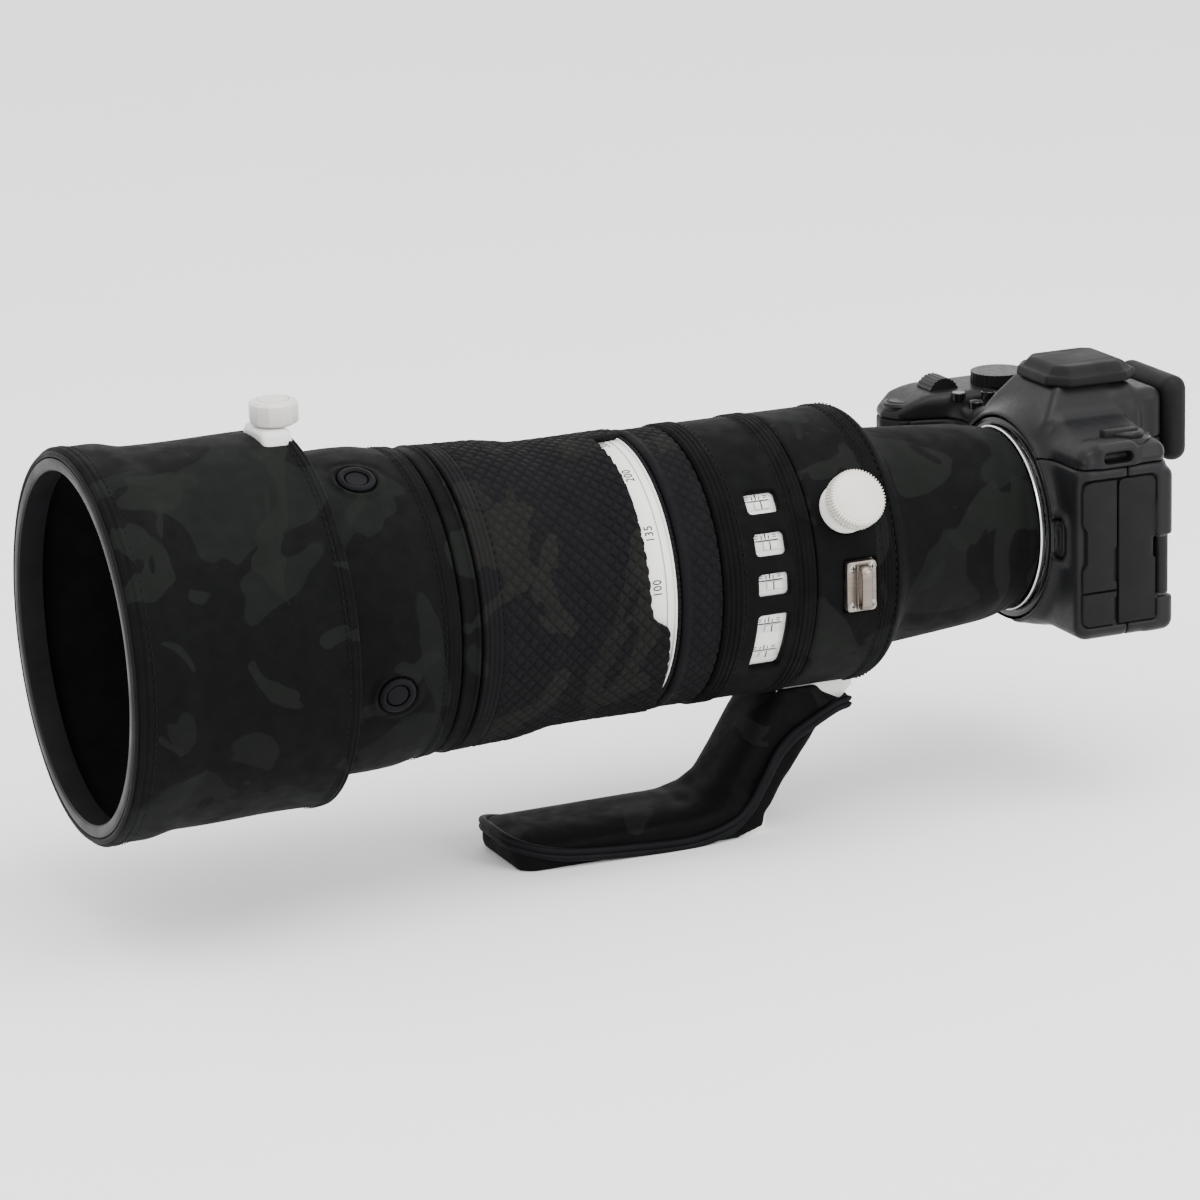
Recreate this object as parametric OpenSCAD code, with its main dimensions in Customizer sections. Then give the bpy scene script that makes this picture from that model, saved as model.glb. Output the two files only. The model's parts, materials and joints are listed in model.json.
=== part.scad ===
// Mirrorless camera with a large tele zoom lens that wears a fitted fabric coat.
// The lens axis runs along Y and the lens points to -Y. The whole object stands on its tripod foot.

/* [Placing] */
// Height of the lens axis above the floor
axis_z = 111; // [110:0.5:113]
// Distance from the main tripod socket back to the lens mount flange
flange_y = 170; // [165:1:175]

/* [Lens barrel] */
// Bare radius of the middle of the barrel
barrel_r = 52.4; // [52:0.1:53]
// Outer radius of the fixed core tube that the rings turn on
core_r = 44.5; // [44:0.1:45]
// Wall of the fixed core tube
core_wall = 3; // [2:0.5:4]
// Bare radius of the front barrel
front_r = 60; // [59.8:0.1:60.2]
// Radius of the filter thread, for a 112 mm filter
filter_r = 56; // [55:0.5:56]
// Distance from the mount flange to the front rim of the barrel
lens_length = 323.4; // [322:0.2:325]
// Thickness of the fabric coat
coat = 3; // [2:0.5:3.5]
// Running clearance between turning rings and the core tube
play = 0.3; // [0.25:0.05:0.4]

/* [Lens stations] */
// Where the collar ring starts, in front of the flange
collar_start = 78.5; // [78.5:0.1:79]
// Where the collar ring ends
collar_end = 113; // [112:0.5:114]
// Where the switch panel ends
panel_end = 153; // [152:0.5:153]
// Where the focus ring ends
focus_end = 170.6; // [170:0.1:170.7]
// Where the painted zoom scale ends and the zoom grip starts
scale_end = 184; // [182:0.5:186]
// Where the zoom ring ends
zoom_end = 255.7; // [255:0.1:255.8]
// Where the control ring ends
control_end = 263.8; // [263:0.1:263.9]
// Where the coat of the front barrel ends
front_coat_end = 309; // [308:0.5:309.2]

/* [Hood] */
// Bare outer radius of the hood
hood_r = 70.3; // [70:0.1:71]
// Bare outer radius of the flared front of the hood
hood_flare_r = 72.8; // [72:0.1:73.5]
// Where the front of the hood is
hood_front = 397; // [390:1:400]
// Radius of the hood knob
hood_knob_r = 9.5; // [9:0.5:10]

/* [Tripod foot] */
// Half width of the foot
foot_half = 20.5; // [19:0.5:21]
// Half width of the leg
leg_half = 15; // [14:0.5:16]
// Where the foot's rear end is, in front of the flange
foot_start = 118; // [117:1:120]
// Where the foot's front end is
foot_end = 225.5; // [220:0.5:228]
// Thickness of the foot
foot_thick = 10.5; // [10:0.5:11]
// Radius of the main thread, 3/8 inch
main_thread_r = 3.97; // [3.9:0.01:4.05]
// Radius of the small threads, 1/4 inch
small_thread_r = 2.55; // [2.5:0.01:2.65]

/* [Collar knob] */
// Angle of the knob above the side of the collar
knob_angle = 29; // [25:1:33]
// Radius of the knob's rim
knob_r = 12.5; // [11:0.5:13]

/* [Camera] */
// Side face of the camera with the sockets
body_right = 58.5; // [58:0.1:59]
// Outer side of the hand grip
body_left = -80; // [-82:0.5:-79]
// Front face of the body, behind the flange
body_front = 1.5; // [1:0.1:2]
// Back face of the body
body_back = 43.5; // [43:0.1:44]
// Underside of the body, below the lens axis
body_bottom = -40; // [-41:0.5:-40]
// Front of the hand grip
grip_front = -22; // [-24:0.5:-21]
// Where the top cover starts
top_start = 31; // [30.5:0.1:31]
// Top of the deck on the side of the sockets
deck_top = 38; // [37.5:0.1:38.5]
// Wall of the camera's shells
wall = 2; // [1.6:0.1:2.2]

/* [Hidden] */
$fn = 72;

ring_gap = 0.5;
fit = 0.05;
core_in = core_r - core_wall;
ring_in = core_r + play;
past = 1;

// Bare outlines of the barrel, as [radius, distance in front of the flange]
rear_line = [[34, 4.5], [35, 10], [37.6, 20], [38.4, 30], [40, 50], [41.2, 67],
    [barrel_r, 76.5], [barrel_r, collar_start - ring_gap]];
zoom_line = [[52.5, scale_end + 0.2], [52.5, 215], [53.8, 220], [55.5, 230], [55.5, 240],
    [56.5, 250], [56.5, zoom_end]];
front_line = [[57, control_end + ring_gap], [57.3, 270], [59.5, 280], [front_r, 290],
    [front_r, front_coat_end]];
hood_start = 310;
hood_neck_r = 61 + play;
hood_line = [[hood_r, hood_start], [hood_r, 372], [hood_flare_r, 380], [hood_flare_r, hood_front]];
focus_r = 51.8;
control_r = 56.6;

// Lens switches: [angle, place along the barrel]; windows in the coat: [angle, angular width]
switch_angles = [36.5, 18.8, 1.8, -18, -32.5];
windows = [[36.5, 9.5], [18.8, 9.5], [1.8, 9.6], [-25.2, 28.5]];
window_start = 125;
window_end = 138;
switch_travel = 4;
switch_t = 129.5;
switch_size = [4, 2.6];

// Function buttons on the front barrel
button_angles = [66.5, -17, 246.5, 163];
button_t = 291.5;
button_r = 5;
bezel_r = 7.2;
button_travel = 0.8;

// Strap brackets on both sides of the collar
bracket_t = [88, 101];
bracket_y = [-13.5, 7];
bracket_face = 56.8;
bar_post_y = [-11.5, 3];
bar_t = [92, 97];
bar_x = [60, 62.2];
screw_inset = 2.6;
screw_head_r = 2.2;
screw_head_h = 1.2;
screw_r = 1.25;
screw_length = 9;

// Foot and leg
foot_top = -axis_z + foot_thick;
socket_depth = 8;
small_socket_depth = 6.5;
small_socket_y = -24;
foot_screw_t = [124, 139];
foot_screw_x = 11;
foot_bore_depth = 6;
collar_knob_t = 98;
knob_boss_r = 9;
knob_boss_top = 58;
knob_face = 70;
knob_stem_r = 4;
hood_knob_t = 314.5;
hood_block = [304.4, 323];
hood_block_top = 76.6;

// Camera details
split_y = 24;
grip_skin = 1.2;
mount_r = 35;
mount_in = 27;
hump_front = 5;
hump_half = 17;
hump_top = 55;
finder_half = 22;
finder_back = 62;
finder_z = [19, 52];
cup_back = 73.5;
shoe_y = [20, 40];
grip_deck_top = 41;
grip_deck_right = -34;
dial_x = [-71, -59];
front_dial_y = 3;
front_dial_z = 39;
front_dial_r = 7;
top_dial_at = [-60, 29];
top_dial_r = 11.5;
shutter_at = [-65, -14, 36.4];
shutter_tilt = 24;
shutter_r = 5.5;
lever_at = [45, 30];
lever_r = 7.5;
release_at = [45, 1];
release_r = 5;
hinge_at = [53.4, 41.7];
hinge_r = 3;
hinge_z = [-24.5, -1];
screen_x = [-20.5, 47.5];
screen_z = [-35, 18];
screen_y = [37.8, 43.3];
recess_back = 37.4;
port_z = [-34, 26];
port_y = [3.3, 19, 19.6, 36.9];
port_split_z = -20;
door_thick = 2;
socket_floor = body_right - door_thick - 1.5;
battery_box = [[-75.5, -12, -37], [-56, 25, 19.8]];
battery_door_box = [[-77, -14], [-54, 22]];
rear_dial_at = [-62, -10];
rear_dial_r = 12.5;
rear_button_spots = [[-62, 18], [-74, 12], [-38, 22], [-46, -24], [-34, -24], [-34, 2]];
rear_button_r = 3.2;
body_socket_y = 20;

// ---- Shared shapes ----

module lens_axis() { translate([0, flange_y, axis_z]) rotate([90, 0, 0]) children(); }

module body_place() { translate([0, flange_y, axis_z]) children(); }

module ring(t0, t1, outer, inner) {
    translate([0, 0, t0]) difference() {
        cylinder(h = t1 - t0, r = outer);
        translate([0, 0, -past]) cylinder(h = t1 - t0 + 2 * past, r = inner);
    }
}

module lathe(profile) { rotate_extrude() polygon(profile); }

// Points outwards from the lens axis at an angle and a distance in front of the flange
module radial(angle, t) { rotate([0, 0, angle]) translate([0, 0, t]) rotate([0, 90, 0]) children(); }

// A coat of even thickness on a bare outline
module coat_on(line) {
    outer = [for (i = [len(line) - 1 : -1 : 0]) line[i] + [coat, 0]];
    lathe(concat(line, outer));
}

// A side outline of [distance in front of the flange, height] points, as wide as 2 * half
module side_plate(outline, half) {
    rotate([0, -90, 0]) linear_extrude(height = 2 * half, center = true) polygon(outline);
}

module block(low, high) { translate(low) cube(high - low); }

module rounded_rect(x, y, r) {
    translate([x[0] + r, y[0]]) square([x[1] - x[0] - 2 * r, y[1] - y[0]]);
    translate([x[0], y[0] + r]) square([x[1] - x[0], y[1] - y[0] - 2 * r]);
    for (cx = [x[0] + r, x[1] - r], cy = [y[0] + r, y[1] - r]) translate([cx, cy]) circle(r = r);
}

module lens_disc(t0, t1, r, curve) {
    intersection() {
        translate([0, 0, t0]) cylinder(h = t1 - t0, r = r);
        translate([0, 0, t1 - curve]) sphere(r = curve);
        translate([0, 0, t0 + curve]) sphere(r = curve);
    }
}

module screw() {
    cylinder(h = screw_head_h, r = screw_head_r);
    translate([0, 0, -screw_length]) cylinder(h = screw_length, r = screw_r);
}

module bracket_screw_places() {
    for (side = [0, 180], t = [bracket_t[0] + screw_inset, bracket_t[1] - screw_inset],
        y = [bracket_y[0] + screw_inset, bracket_y[1] - screw_inset])
        rotate([0, side, 0]) translate([bracket_face, y, side == 0 ? t : -t]) rotate([0, 90, 0]) children();
}

module foot_screw_places() {
    for (x = [-foot_screw_x, foot_screw_x], t = foot_screw_t)
        translate([x, -axis_z + foot_bore_depth, t]) rotate([90, 0, 0]) children();
}

module cog(r, h, teeth, depth) {
    difference() {
        cylinder(h = h, r = r);
        for (i = [0 : teeth - 1]) rotate([0, 0, i * 360 / teeth]) translate([r + depth, 0, -past])
            cylinder(h = h + 2 * past, r = 2 * depth, $fn = 24);
    }
}

// ---- Tripod collar and foot ----

module leg_outline() {
    side_plate([[79, -46], [79, -56], [83, -60], [97, -71], [109, -88.5], [119.5, foot_top],
        [150, foot_top], [136, -91.5], [117.5, -66], [collar_end - ring_gap, -57.5],
        [collar_end - ring_gap, -46]], leg_half);
}

module tripod_collar() {
    color("white") lens_axis() difference() {
        union() {
            ring(collar_start, collar_end - ring_gap, barrel_r, ring_in);
            leg_outline();
            radial(knob_angle, collar_knob_t) translate([0, 0, barrel_r - 3])
                cylinder(h = knob_boss_top - barrel_r + 3, r = knob_boss_r);
        }
        translate([0, 0, collar_start - past]) cylinder(h = collar_end, r = ring_in);
        radial(knob_angle, collar_knob_t) translate([0, 0, ring_in + 1])
            cylinder(h = 30, r = knob_stem_r + fit);
        bracket_screw_places() translate([0, 0, -screw_length - fit]) cylinder(h = 20, r = screw_r + fit);
        foot_screw_places() translate([0, 0, -screw_length - fit]) cylinder(h = 20, r = screw_r + fit);
    }
}

module foot_plan(grow) {
    rounded_rect([-foot_half - grow, foot_half + grow],
        [flange_y - foot_end - grow, flange_y - foot_start + grow], 8 + grow);
}

module tripod_foot() {
    color("whitesmoke") difference() {
        linear_extrude(height = foot_thick) foot_plan(0);
        translate([0, 0, -past]) cylinder(h = socket_depth + past, r = main_thread_r);
        translate([0, small_socket_y, -past]) cylinder(h = small_socket_depth + past, r = small_thread_r);
        lens_axis() foot_screw_places() {
            translate([0, 0, -screw_length]) cylinder(h = 30, r = screw_r + fit);
            cylinder(h = foot_bore_depth + past, r = screw_head_r + 0.3);
        }
    }
}

module mounting_screws() {
    color("silver") lens_axis() {
        bracket_screw_places() screw();
        foot_screw_places() screw();
    }
}

module foot_cover() {
    color("darkolivegreen") difference() {
        union() {
            translate([0, 0, 0.6]) linear_extrude(height = foot_thick + coat - 0.6) foot_plan(coat);
            lens_axis() side_plate([[85, -59], [94, -73], [106, -90], [116, foot_top - 2],
                [154, foot_top + coat], [138, -89.5], [120, -64], [116, -57]], leg_half + coat);
        }
        translate([0, 0, -past]) linear_extrude(height = foot_thick + past) foot_plan(0);
        lens_axis() {
            leg_outline();
            translate([0, 0, 70]) cylinder(h = 50, r = barrel_r + coat + play);
        }
    }
}

module collar_cover() {
    color("darkolivegreen") lens_axis() difference() {
        coat_on([[barrel_r, collar_start], [barrel_r, collar_end - ring_gap]]);
        block([-leg_half - play, -70, 70], [leg_half + play, -40, collar_end + past]);
        radial(knob_angle, collar_knob_t) cylinder(h = 70, r = knob_boss_r + play);
        for (side = [-1, 1]) translate([side * barrel_r, 0, 0])
            block([-8, bracket_y[0] - play, bracket_t[0] - play],
                [8, bracket_y[1] + play, bracket_t[1] + play]);
    }
}

module strap_bracket() {
    difference() {
        union() {
            block([barrel_r - 2, bracket_y[0], bracket_t[0]], [bracket_face, bracket_y[1], bracket_t[1]]);
            for (y = bar_post_y)
                block([bracket_face - past, y, bar_t[0] + 1], [bar_x[1] - 0.2, y + 2, bar_t[1] - 1]);
            block([bar_x[0], bar_post_y[0], bar_t[0]], [bar_x[1], bar_post_y[1] + 2, bar_t[1]]);
        }
        translate([0, 0, bracket_t[0] - past]) cylinder(h = 20, r = barrel_r);
        bracket_screw_places() translate([0, 0, -screw_length]) cylinder(h = 30, r = screw_r + fit);
    }
}

module strap_brackets() {
    color("silver") lens_axis() {
        strap_bracket();
        mirror([1, 0, 0]) strap_bracket();
    }
}

module collar_knob() {
    color("ivory") lens_axis() radial(knob_angle, collar_knob_t) {
        translate([0, 0, ring_in + 2]) cylinder(h = knob_face - ring_in - 4, r = knob_stem_r);
        translate([0, 0, knob_boss_top + ring_gap]) cylinder(h = 4, r = 8);
        translate([0, 0, knob_boss_top + ring_gap + 3.5])
            cog(knob_r, knob_face - knob_boss_top - ring_gap - 3.5, 30, 0.5);
    }
}

// ---- Fixed barrel ----

module core_tube() { color("dimgray") lens_axis() ring(70, 268, core_r, core_in); }

module rear_barrel() {
    inside = [[core_r, 70], [38.2, 64], [37, 50], [35.4, 30], [34.6, 20], [31, 10], [26, 6]];
    color("white") lens_axis()
        lathe(concat([[26, 3], [34, 3]], rear_line, [[core_r, collar_start - ring_gap]], inside));
}

module rear_cover() { color("darkolivegreen") lens_axis() coat_on(rear_line); }

module lens_bayonet() {
    color("silver") lens_axis() {
        ring(0, 3, 34.2, 24);
        ring(-6, 0, mount_in - play, 24);
        for (i = [0 : 2]) rotate([0, 0, 120 * i]) intersection() {
            ring(-6, -4.6, 29.5, 25);
            translate([0, -10, -6]) cube([30, 20, 2]);
        }
    }
}

module rear_optics() {
    color("black") lens_axis() {
        ring(12, 45, 30.9, 22);
        ring(24, 28, 34.9, 30.9);
        lens_disc(14, 22, 22, 90);
        lens_disc(34, 43, 22, 120);
        ring(88, 94, core_in, 24);
    }
}

module switch_housing() {
    color("white") lens_axis() difference() {
        ring(collar_end, panel_end, barrel_r, core_r);
        for (a = switch_angles) radial(a, switch_t) block(
            [-switch_size[0] / 2 - switch_travel - 0.3, -switch_size[1] / 2 - 0.3, barrel_r - 3],
            [switch_size[0] / 2 + 0.3, switch_size[1] / 2 + 0.3, barrel_r + 5]);
    }
}

module switch_cover() {
    color("darkolivegreen") lens_axis() difference() {
        coat_on([[barrel_r, collar_end], [barrel_r, panel_end]]);
        for (w = windows) rotate([0, 0, w[0]])
            block([barrel_r - 12, -sin(w[1] / 2) * (barrel_r + coat), window_start],
                [barrel_r + 8, sin(w[1] / 2) * (barrel_r + coat), window_end]);
    }
}

module slider(index) {
    color("gray") lens_axis() radial(switch_angles[index], switch_t) {
        block([-switch_size[0] / 2, -switch_size[1] / 2, barrel_r - 2.4],
            [switch_size[0] / 2, switch_size[1] / 2, barrel_r + 1.4]);
    }
}

module focus_mode_switch() { slider(0); }
module focus_limit_switch() { slider(1); }
module preset_switch() { slider(2); }
module stabiliser_switch() { slider(3); }
module stabiliser_mode_switch() { slider(4); }

module front_barrel() {
    color("white") lens_axis() difference() {
        union() {
            lathe(concat([[core_r, control_end + ring_gap]], front_line, [[front_r, front_coat_end + 0.2],
                [61, front_coat_end + 0.2], [61, lens_length], [filter_r, lens_length],
                [filter_r, lens_length - 6], [54.5, lens_length - 6], [54.5, 300], [57, 296], [57, 288],
                [54.5, 276], [54.5, 268], [core_r, 268]]));
            for (a = button_angles)
                radial(a, button_t) translate([0, 0, 57.4]) cylinder(h = 5.4, r = bezel_r);
        }
        for (a = button_angles) radial(a, button_t) translate([0, 0, 58])
            cylinder(h = 10, r = button_r + fit);
    }
}

module front_barrel_cover() {
    color("darkolivegreen") lens_axis() difference() {
        coat_on(front_line);
        for (a = button_angles) radial(a, button_t) translate([0, 0, 40]) cylinder(h = 40, r = bezel_r);
    }
}

module front_lens() { color("lightblue") lens_axis() lens_disc(301, 316, 54.4, 160); }

module function_button(index) {
    color("gray") lens_axis() radial(button_angles[index], button_t) translate([0, 0, 59]) {
        cylinder(h = 4.2, r = button_r);
    }
}

module function_button_upper_right() { function_button(0); }
module function_button_lower_right() { function_button(1); }
module function_button_lower_left() { function_button(2); }
module function_button_upper_left() { function_button(3); }

// ---- Turning rings and moving cells ----

module zoom_ring() {
    color("white") lens_axis() lathe(concat([[ring_in, focus_end + ring_gap], [53.3, focus_end + ring_gap],
        [53.3, scale_end]], zoom_line, [[ring_in, zoom_end], [ring_in, 250], [50, 246], [50, 180],
        [ring_in, 176]]));
}

module zoom_cover() { color("darkolivegreen") lens_axis() coat_on(zoom_line); }

module zoom_cell() {
    color("dimgray") lens_axis() {
        ring(200, 222, core_in - play, 36);
        lens_disc(204, 218, 36, 110);
    }
}

module focus_ring() {
    color("white") lens_axis() lathe([[ring_in, panel_end + ring_gap], [focus_r, panel_end + ring_gap],
        [focus_r, focus_end], [ring_in, focus_end]]);
}

module focus_cover() {
    color("darkolivegreen") lens_axis() coat_on([[focus_r, panel_end + ring_gap], [focus_r, focus_end]]);
}

module focus_cell() {
    color("dimgray") lens_axis() {
        ring(116, 130, core_in - play, 32);
        lens_disc(119, 127, 32, 120);
    }
}

module control_ring() {
    color("white") lens_axis() ring(zoom_end + ring_gap, control_end, control_r, ring_in);
}

module control_cover() {
    color("darkolivegreen") lens_axis()
        coat_on([[control_r, zoom_end + ring_gap], [control_r, control_end]]);
}

// ---- Hood ----

module hood_block_shape() {
    translate([0, 0, hood_block[0]]) linear_extrude(height = hood_block[1] - hood_block[0])
        polygon([[-9.5, hood_block_top], [9.5, hood_block_top], [15, 70],
            [15.5, 64], [-15.5, 64], [-15, 70]]);
}

module hood_shell() {
    color("white") lens_axis() difference() {
        union() {
            lathe(concat([[hood_neck_r, hood_start]], hood_line, [[hood_flare_r - 2, hood_front],
                [hood_flare_r - 2, 380.5], [hood_r - 2, 372.5], [hood_r - 2, 312.5], [63.5, 312.5],
                [63.5, hood_block[1]], [61 + play, hood_block[1]]]));
            hood_block_shape();
        }
        translate([0, 0, hood_block[0] - past])
            cylinder(h = hood_start - hood_block[0] + past, r = front_r + coat + 0.4);
        translate([0, 0, hood_start]) cylinder(h = 20, r = hood_neck_r);
        translate([0, 68, hood_knob_t]) rotate([-90, 0, 0]) cylinder(h = 20, r = 3 + fit);
    }
}

module hood_lip() {
    color("dimgray") lens_axis() lathe([[hood_flare_r - 2, hood_front - 8], [hood_flare_r - 2, hood_front],
        [hood_flare_r - 0.6, hood_front], [hood_flare_r - 0.6, hood_front + 2.5], [67.5, hood_front + 2.5],
        [67.5, hood_front - 8]]);
}

module hood_cover() {
    color("darkolivegreen") lens_axis() difference() {
        coat_on(hood_line);
        block([-16.5, 60, 300], [16.5, 90, hood_block[1] + play]);
    }
}

module hood_knob() {
    color("ivory") lens_axis() translate([0, hood_block_top + ring_gap, hood_knob_t]) rotate([-90, 0, 0]) {
        cog(hood_knob_r, 10, 12, 0.7);
        translate([0, 0, -8]) cylinder(h = 9, r = 3);
    }
}

// ---- Camera ----

module body_plan(inset, grip_inset) {
    rounded_rect([-58 + inset, body_right - inset], [body_front + inset, body_back - inset], 7 - inset);
    rounded_rect([body_left + grip_inset, -50 - inset], [grip_front + grip_inset, body_back - inset],
        11 - grip_inset);
}

module walls(z0, z1, inset, grip_inset) {
    translate([0, 0, z0]) linear_extrude(height = z1 - z0) body_plan(inset, grip_inset);
}

module port_recess() {
    block([body_right - door_thick - 0.3, port_y[0] - play, port_z[0] - play],
        [body_right + 9, port_y[3] + play, port_z[1] + play]);
}

module mount_bore() {
    translate([0, body_front + wall + past, 0]) rotate([90, 0, 0]) cylinder(h = 8, r = mount_r + fit);
}

module body_shell() {
    color("dimgray") body_place() difference() {
        union() {
            difference() {
                walls(body_bottom, top_start, 0, grip_skin);
                walls(body_bottom + wall, top_start + past, wall, grip_skin + wall);
                block([-90, split_y, body_bottom + wall], [90, 60, top_start + past]);
            }
            block([51, 4.5, port_z[0] - 2], [body_right - door_thick - 0.3, 35, port_z[1] + 2]);
            translate([0, body_socket_y, body_bottom]) cylinder(h = 8, r = 6);
            translate([release_at[0], body_front + wall, release_at[1]]) rotate([90, 0, 0])
                cylinder(h = 5, r = release_r + 3);
        }
        port_recess();
        mount_bore();
        translate([0, body_socket_y, body_bottom - past]) cylinder(h = 6.5, r = small_thread_r);
        translate([release_at[0], 9, release_at[1]]) rotate([90, 0, 0])
            cylinder(h = 20, r = release_r + play);
        block([battery_door_box[0][0] - play, battery_door_box[0][1] - play, body_bottom - past],
            [battery_door_box[1][0] + play, battery_door_box[1][1] + play, body_bottom + 5]);
        for (z = [-12, 2, 16]) block([socket_floor, 7, z], [60, 16, z + 6]);
        for (z = [-26, -8, 10]) block([socket_floor, 23, z], [60, 32, z + 9]);
    }
}

module grip_rubber() {
    color("black") body_place() difference() {
        walls(body_bottom + wall, top_start - 0.2, 0, 0);
        walls(body_bottom, top_start + past, 0, grip_skin);
        block([-57, -50, body_bottom - past], [90, 60, 50]);
        block([-90, split_y, body_bottom - past], [90, 60, 50]);
    }
}

module rear_shell() {
    color("dimgray") body_place() difference() {
        union() {
            difference() {
                walls(body_bottom + wall, top_start, 0, 0);
                walls(body_bottom, top_start + past, wall, wall);
            }
            block([-24, recess_back - 2, body_bottom + wall], [body_right - 0.6, body_back, 21]);
        }
        block([-90, -40, body_bottom], [90, split_y, 60]);
        block([screen_x[0] - 0.5, recess_back, screen_z[0] - 0.5],
            [hinge_at[0] - 5, body_back + 9, screen_z[1] + 0.5]);
        block([hinge_at[0] - 7, recess_back, hinge_z[0] - 0.4],
            [body_right + 9, body_back + 9, hinge_z[1] + 0.4]);
        port_recess();
        for (p = rear_button_spots) translate([p[0], body_back - wall - past, p[1]]) rotate([-90, 0, 0])
            cylinder(h = 9, r = rear_button_r + fit);
        translate([rear_dial_at[0], body_back - wall - past, rear_dial_at[1]]) rotate([-90, 0, 0])
            cylinder(h = 9, r = 3 + fit);
    }
}

module hump(inset, y0, y1) {
    translate([0, y1, 0]) rotate([90, 0, 0]) linear_extrude(height = y1 - y0)
        polygon([[-27 + inset, 30], [-27 + inset, deck_top], [-hump_half + inset, hump_top - inset],
            [hump_half - inset, hump_top - inset], [27 - inset, deck_top], [27 - inset, 30]]);
}

module shoe() {
    for (side = [-1, 1]) translate([0, shoe_y[0], 0]) {
        translate([side * 10.4 - 1, 0, hump_top - past]) cube([2, shoe_y[1] - shoe_y[0], 3.6 + past]);
        translate([side * 9 - 2.4, 0, hump_top + 2.4]) cube([4.8, shoe_y[1] - shoe_y[0], 1.2]);
    }
}

module top_cover() {
    color("gray") body_place() difference() {
        union() {
            walls(top_start, deck_top, 0, 0);
            intersection() {
                walls(top_start, grip_deck_top, 0, 0);
                block([-90, -40, top_start], [grip_deck_right, 60, grip_deck_top]);
            }
            intersection() {
                hump(0, hump_front, 50);
                block([-40, 0, top_start], [40, 60, 60]);
            }
            block([-finder_half, body_back + 0.3, finder_z[0]], [finder_half, finder_back, finder_z[1]]);
            shoe();
            translate([lever_at[0], lever_at[1], top_start]) cylinder(h = 5, r = 4.5);
            translate([top_dial_at[0], top_dial_at[1], top_start]) cylinder(h = 8, r = 6);
        }
        difference() {
            union() {
                walls(top_start - past, deck_top - wall, wall, wall);
                intersection() {
                    walls(top_start, grip_deck_top - wall, wall, wall);
                    block([-90, -40, top_start], [grip_deck_right - wall, 60, grip_deck_top]);
                }
                hump(wall, hump_front + wall, 48);
            }
            translate([lever_at[0], lever_at[1], top_start]) cylinder(h = 20, r = 4.5);
            translate([top_dial_at[0], top_dial_at[1], top_start]) cylinder(h = 20, r = 6);
            translate(shutter_at) rotate([shutter_tilt, 0, 0]) translate([0, 0, -5]) cylinder(h = 9, r = 8);
        }
        mount_bore();
        block([-finder_half + wall, 46, finder_z[0] + wall],
            [finder_half - wall, finder_back - wall, finder_z[1] - wall]);
        block([-13, 50, 28], [13, 70, 46]);
        translate([0, shutter_at[1], shutter_at[2]]) rotate([shutter_tilt, 0, 0])
            block([-90, -20, 0], [-30, 12.5, 20]);
        translate(shutter_at) rotate([shutter_tilt, 0, 0]) translate([0, 0, -9])
            cylinder(h = 20, r = shutter_r + fit);
        block([dial_x[0] - 0.5, front_dial_y - front_dial_r - 0.5, top_start - past],
            [dial_x[1] + 0.5, front_dial_y + front_dial_r + 0.5, 50]);
        translate([lever_at[0], lever_at[1], top_start - past]) cylinder(h = 20, r = 2 + fit);
        translate([top_dial_at[0], top_dial_at[1], top_start - past]) cylinder(h = 20, r = 3 + fit);
        block([body_right - 5, 12, 32], [body_right + past, 26, 35.4]);
    }
}

module body_mount() { color("silver") lens_axis() ring(-4, -0.3, mount_r, mount_in); }

module sensor_unit() {
    color("darkslategray") body_place() {
        block([-27, 19, -20], [27, 22, 20]);
        block([-18, 18, -12], [18, 19, 12]);
    }
}

module eyecup() {
    color("black") body_place() translate([0, finder_back, 0]) difference() {
        translate([0, cup_back - finder_back, 0]) rotate([90, 0, 0])
            linear_extrude(height = cup_back - finder_back)
            rounded_rect([-finder_half, finder_half], [finder_z[0], finder_z[1] + 2.6], 7);
        translate([0, 20, 0]) rotate([90, 0, 0]) linear_extrude(height = 40)
            rounded_rect([-14, 14], [27, 47], 5);
    }
}

module battery() { color("black") body_place() block(battery_box[0], battery_box[1]); }

module shoe_cover() {
    color("black") body_place() {
        block([-20.5, 12, hump_top + 3.9], [20.5, 52, hump_top + 8]);
        for (side = [-1, 1]) translate([side * 19.6, 0, 0])
            block([-0.9, 14, hump_top + 0.6], [0.9, 50, hump_top + 4.5]);
        block([-6.3, shoe_y[0] + 0.5, hump_top + 0.3], [6.3, shoe_y[1] - 0.5, hump_top + 4.5]);
        block([-9.1, shoe_y[0] + 0.5, hump_top + 0.3], [9.1, shoe_y[1] - 0.5, hump_top + 2.1]);
    }
}

module shutter_button() {
    color("silver") body_place() translate(shutter_at) rotate([shutter_tilt, 0, 0])
        translate([0, 0, -2]) cylinder(h = 3.4, r = shutter_r);
}

module front_dial() {
    color("black") body_place() translate([dial_x[0], front_dial_y, front_dial_z]) rotate([0, 90, 0])
        cog(front_dial_r, dial_x[1] - dial_x[0], 24, 0.35);
}

module top_dial() {
    color("black") body_place() translate([top_dial_at[0], top_dial_at[1], grip_deck_top + 0.3]) {
        cog(top_dial_r, 5, 36, 0.35);
        translate([0, 0, -8]) cylinder(h = 9, r = 3);
    }
}

module mode_lever() {
    color("black") body_place() translate([lever_at[0], lever_at[1], deck_top + 0.3]) {
        cylinder(h = 2.5, r = lever_r);
        block([-2, -10.5, 0], [2, 0, 2]);
        translate([0, 0, -6]) cylinder(h = 7, r = 2);
    }
}

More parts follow.
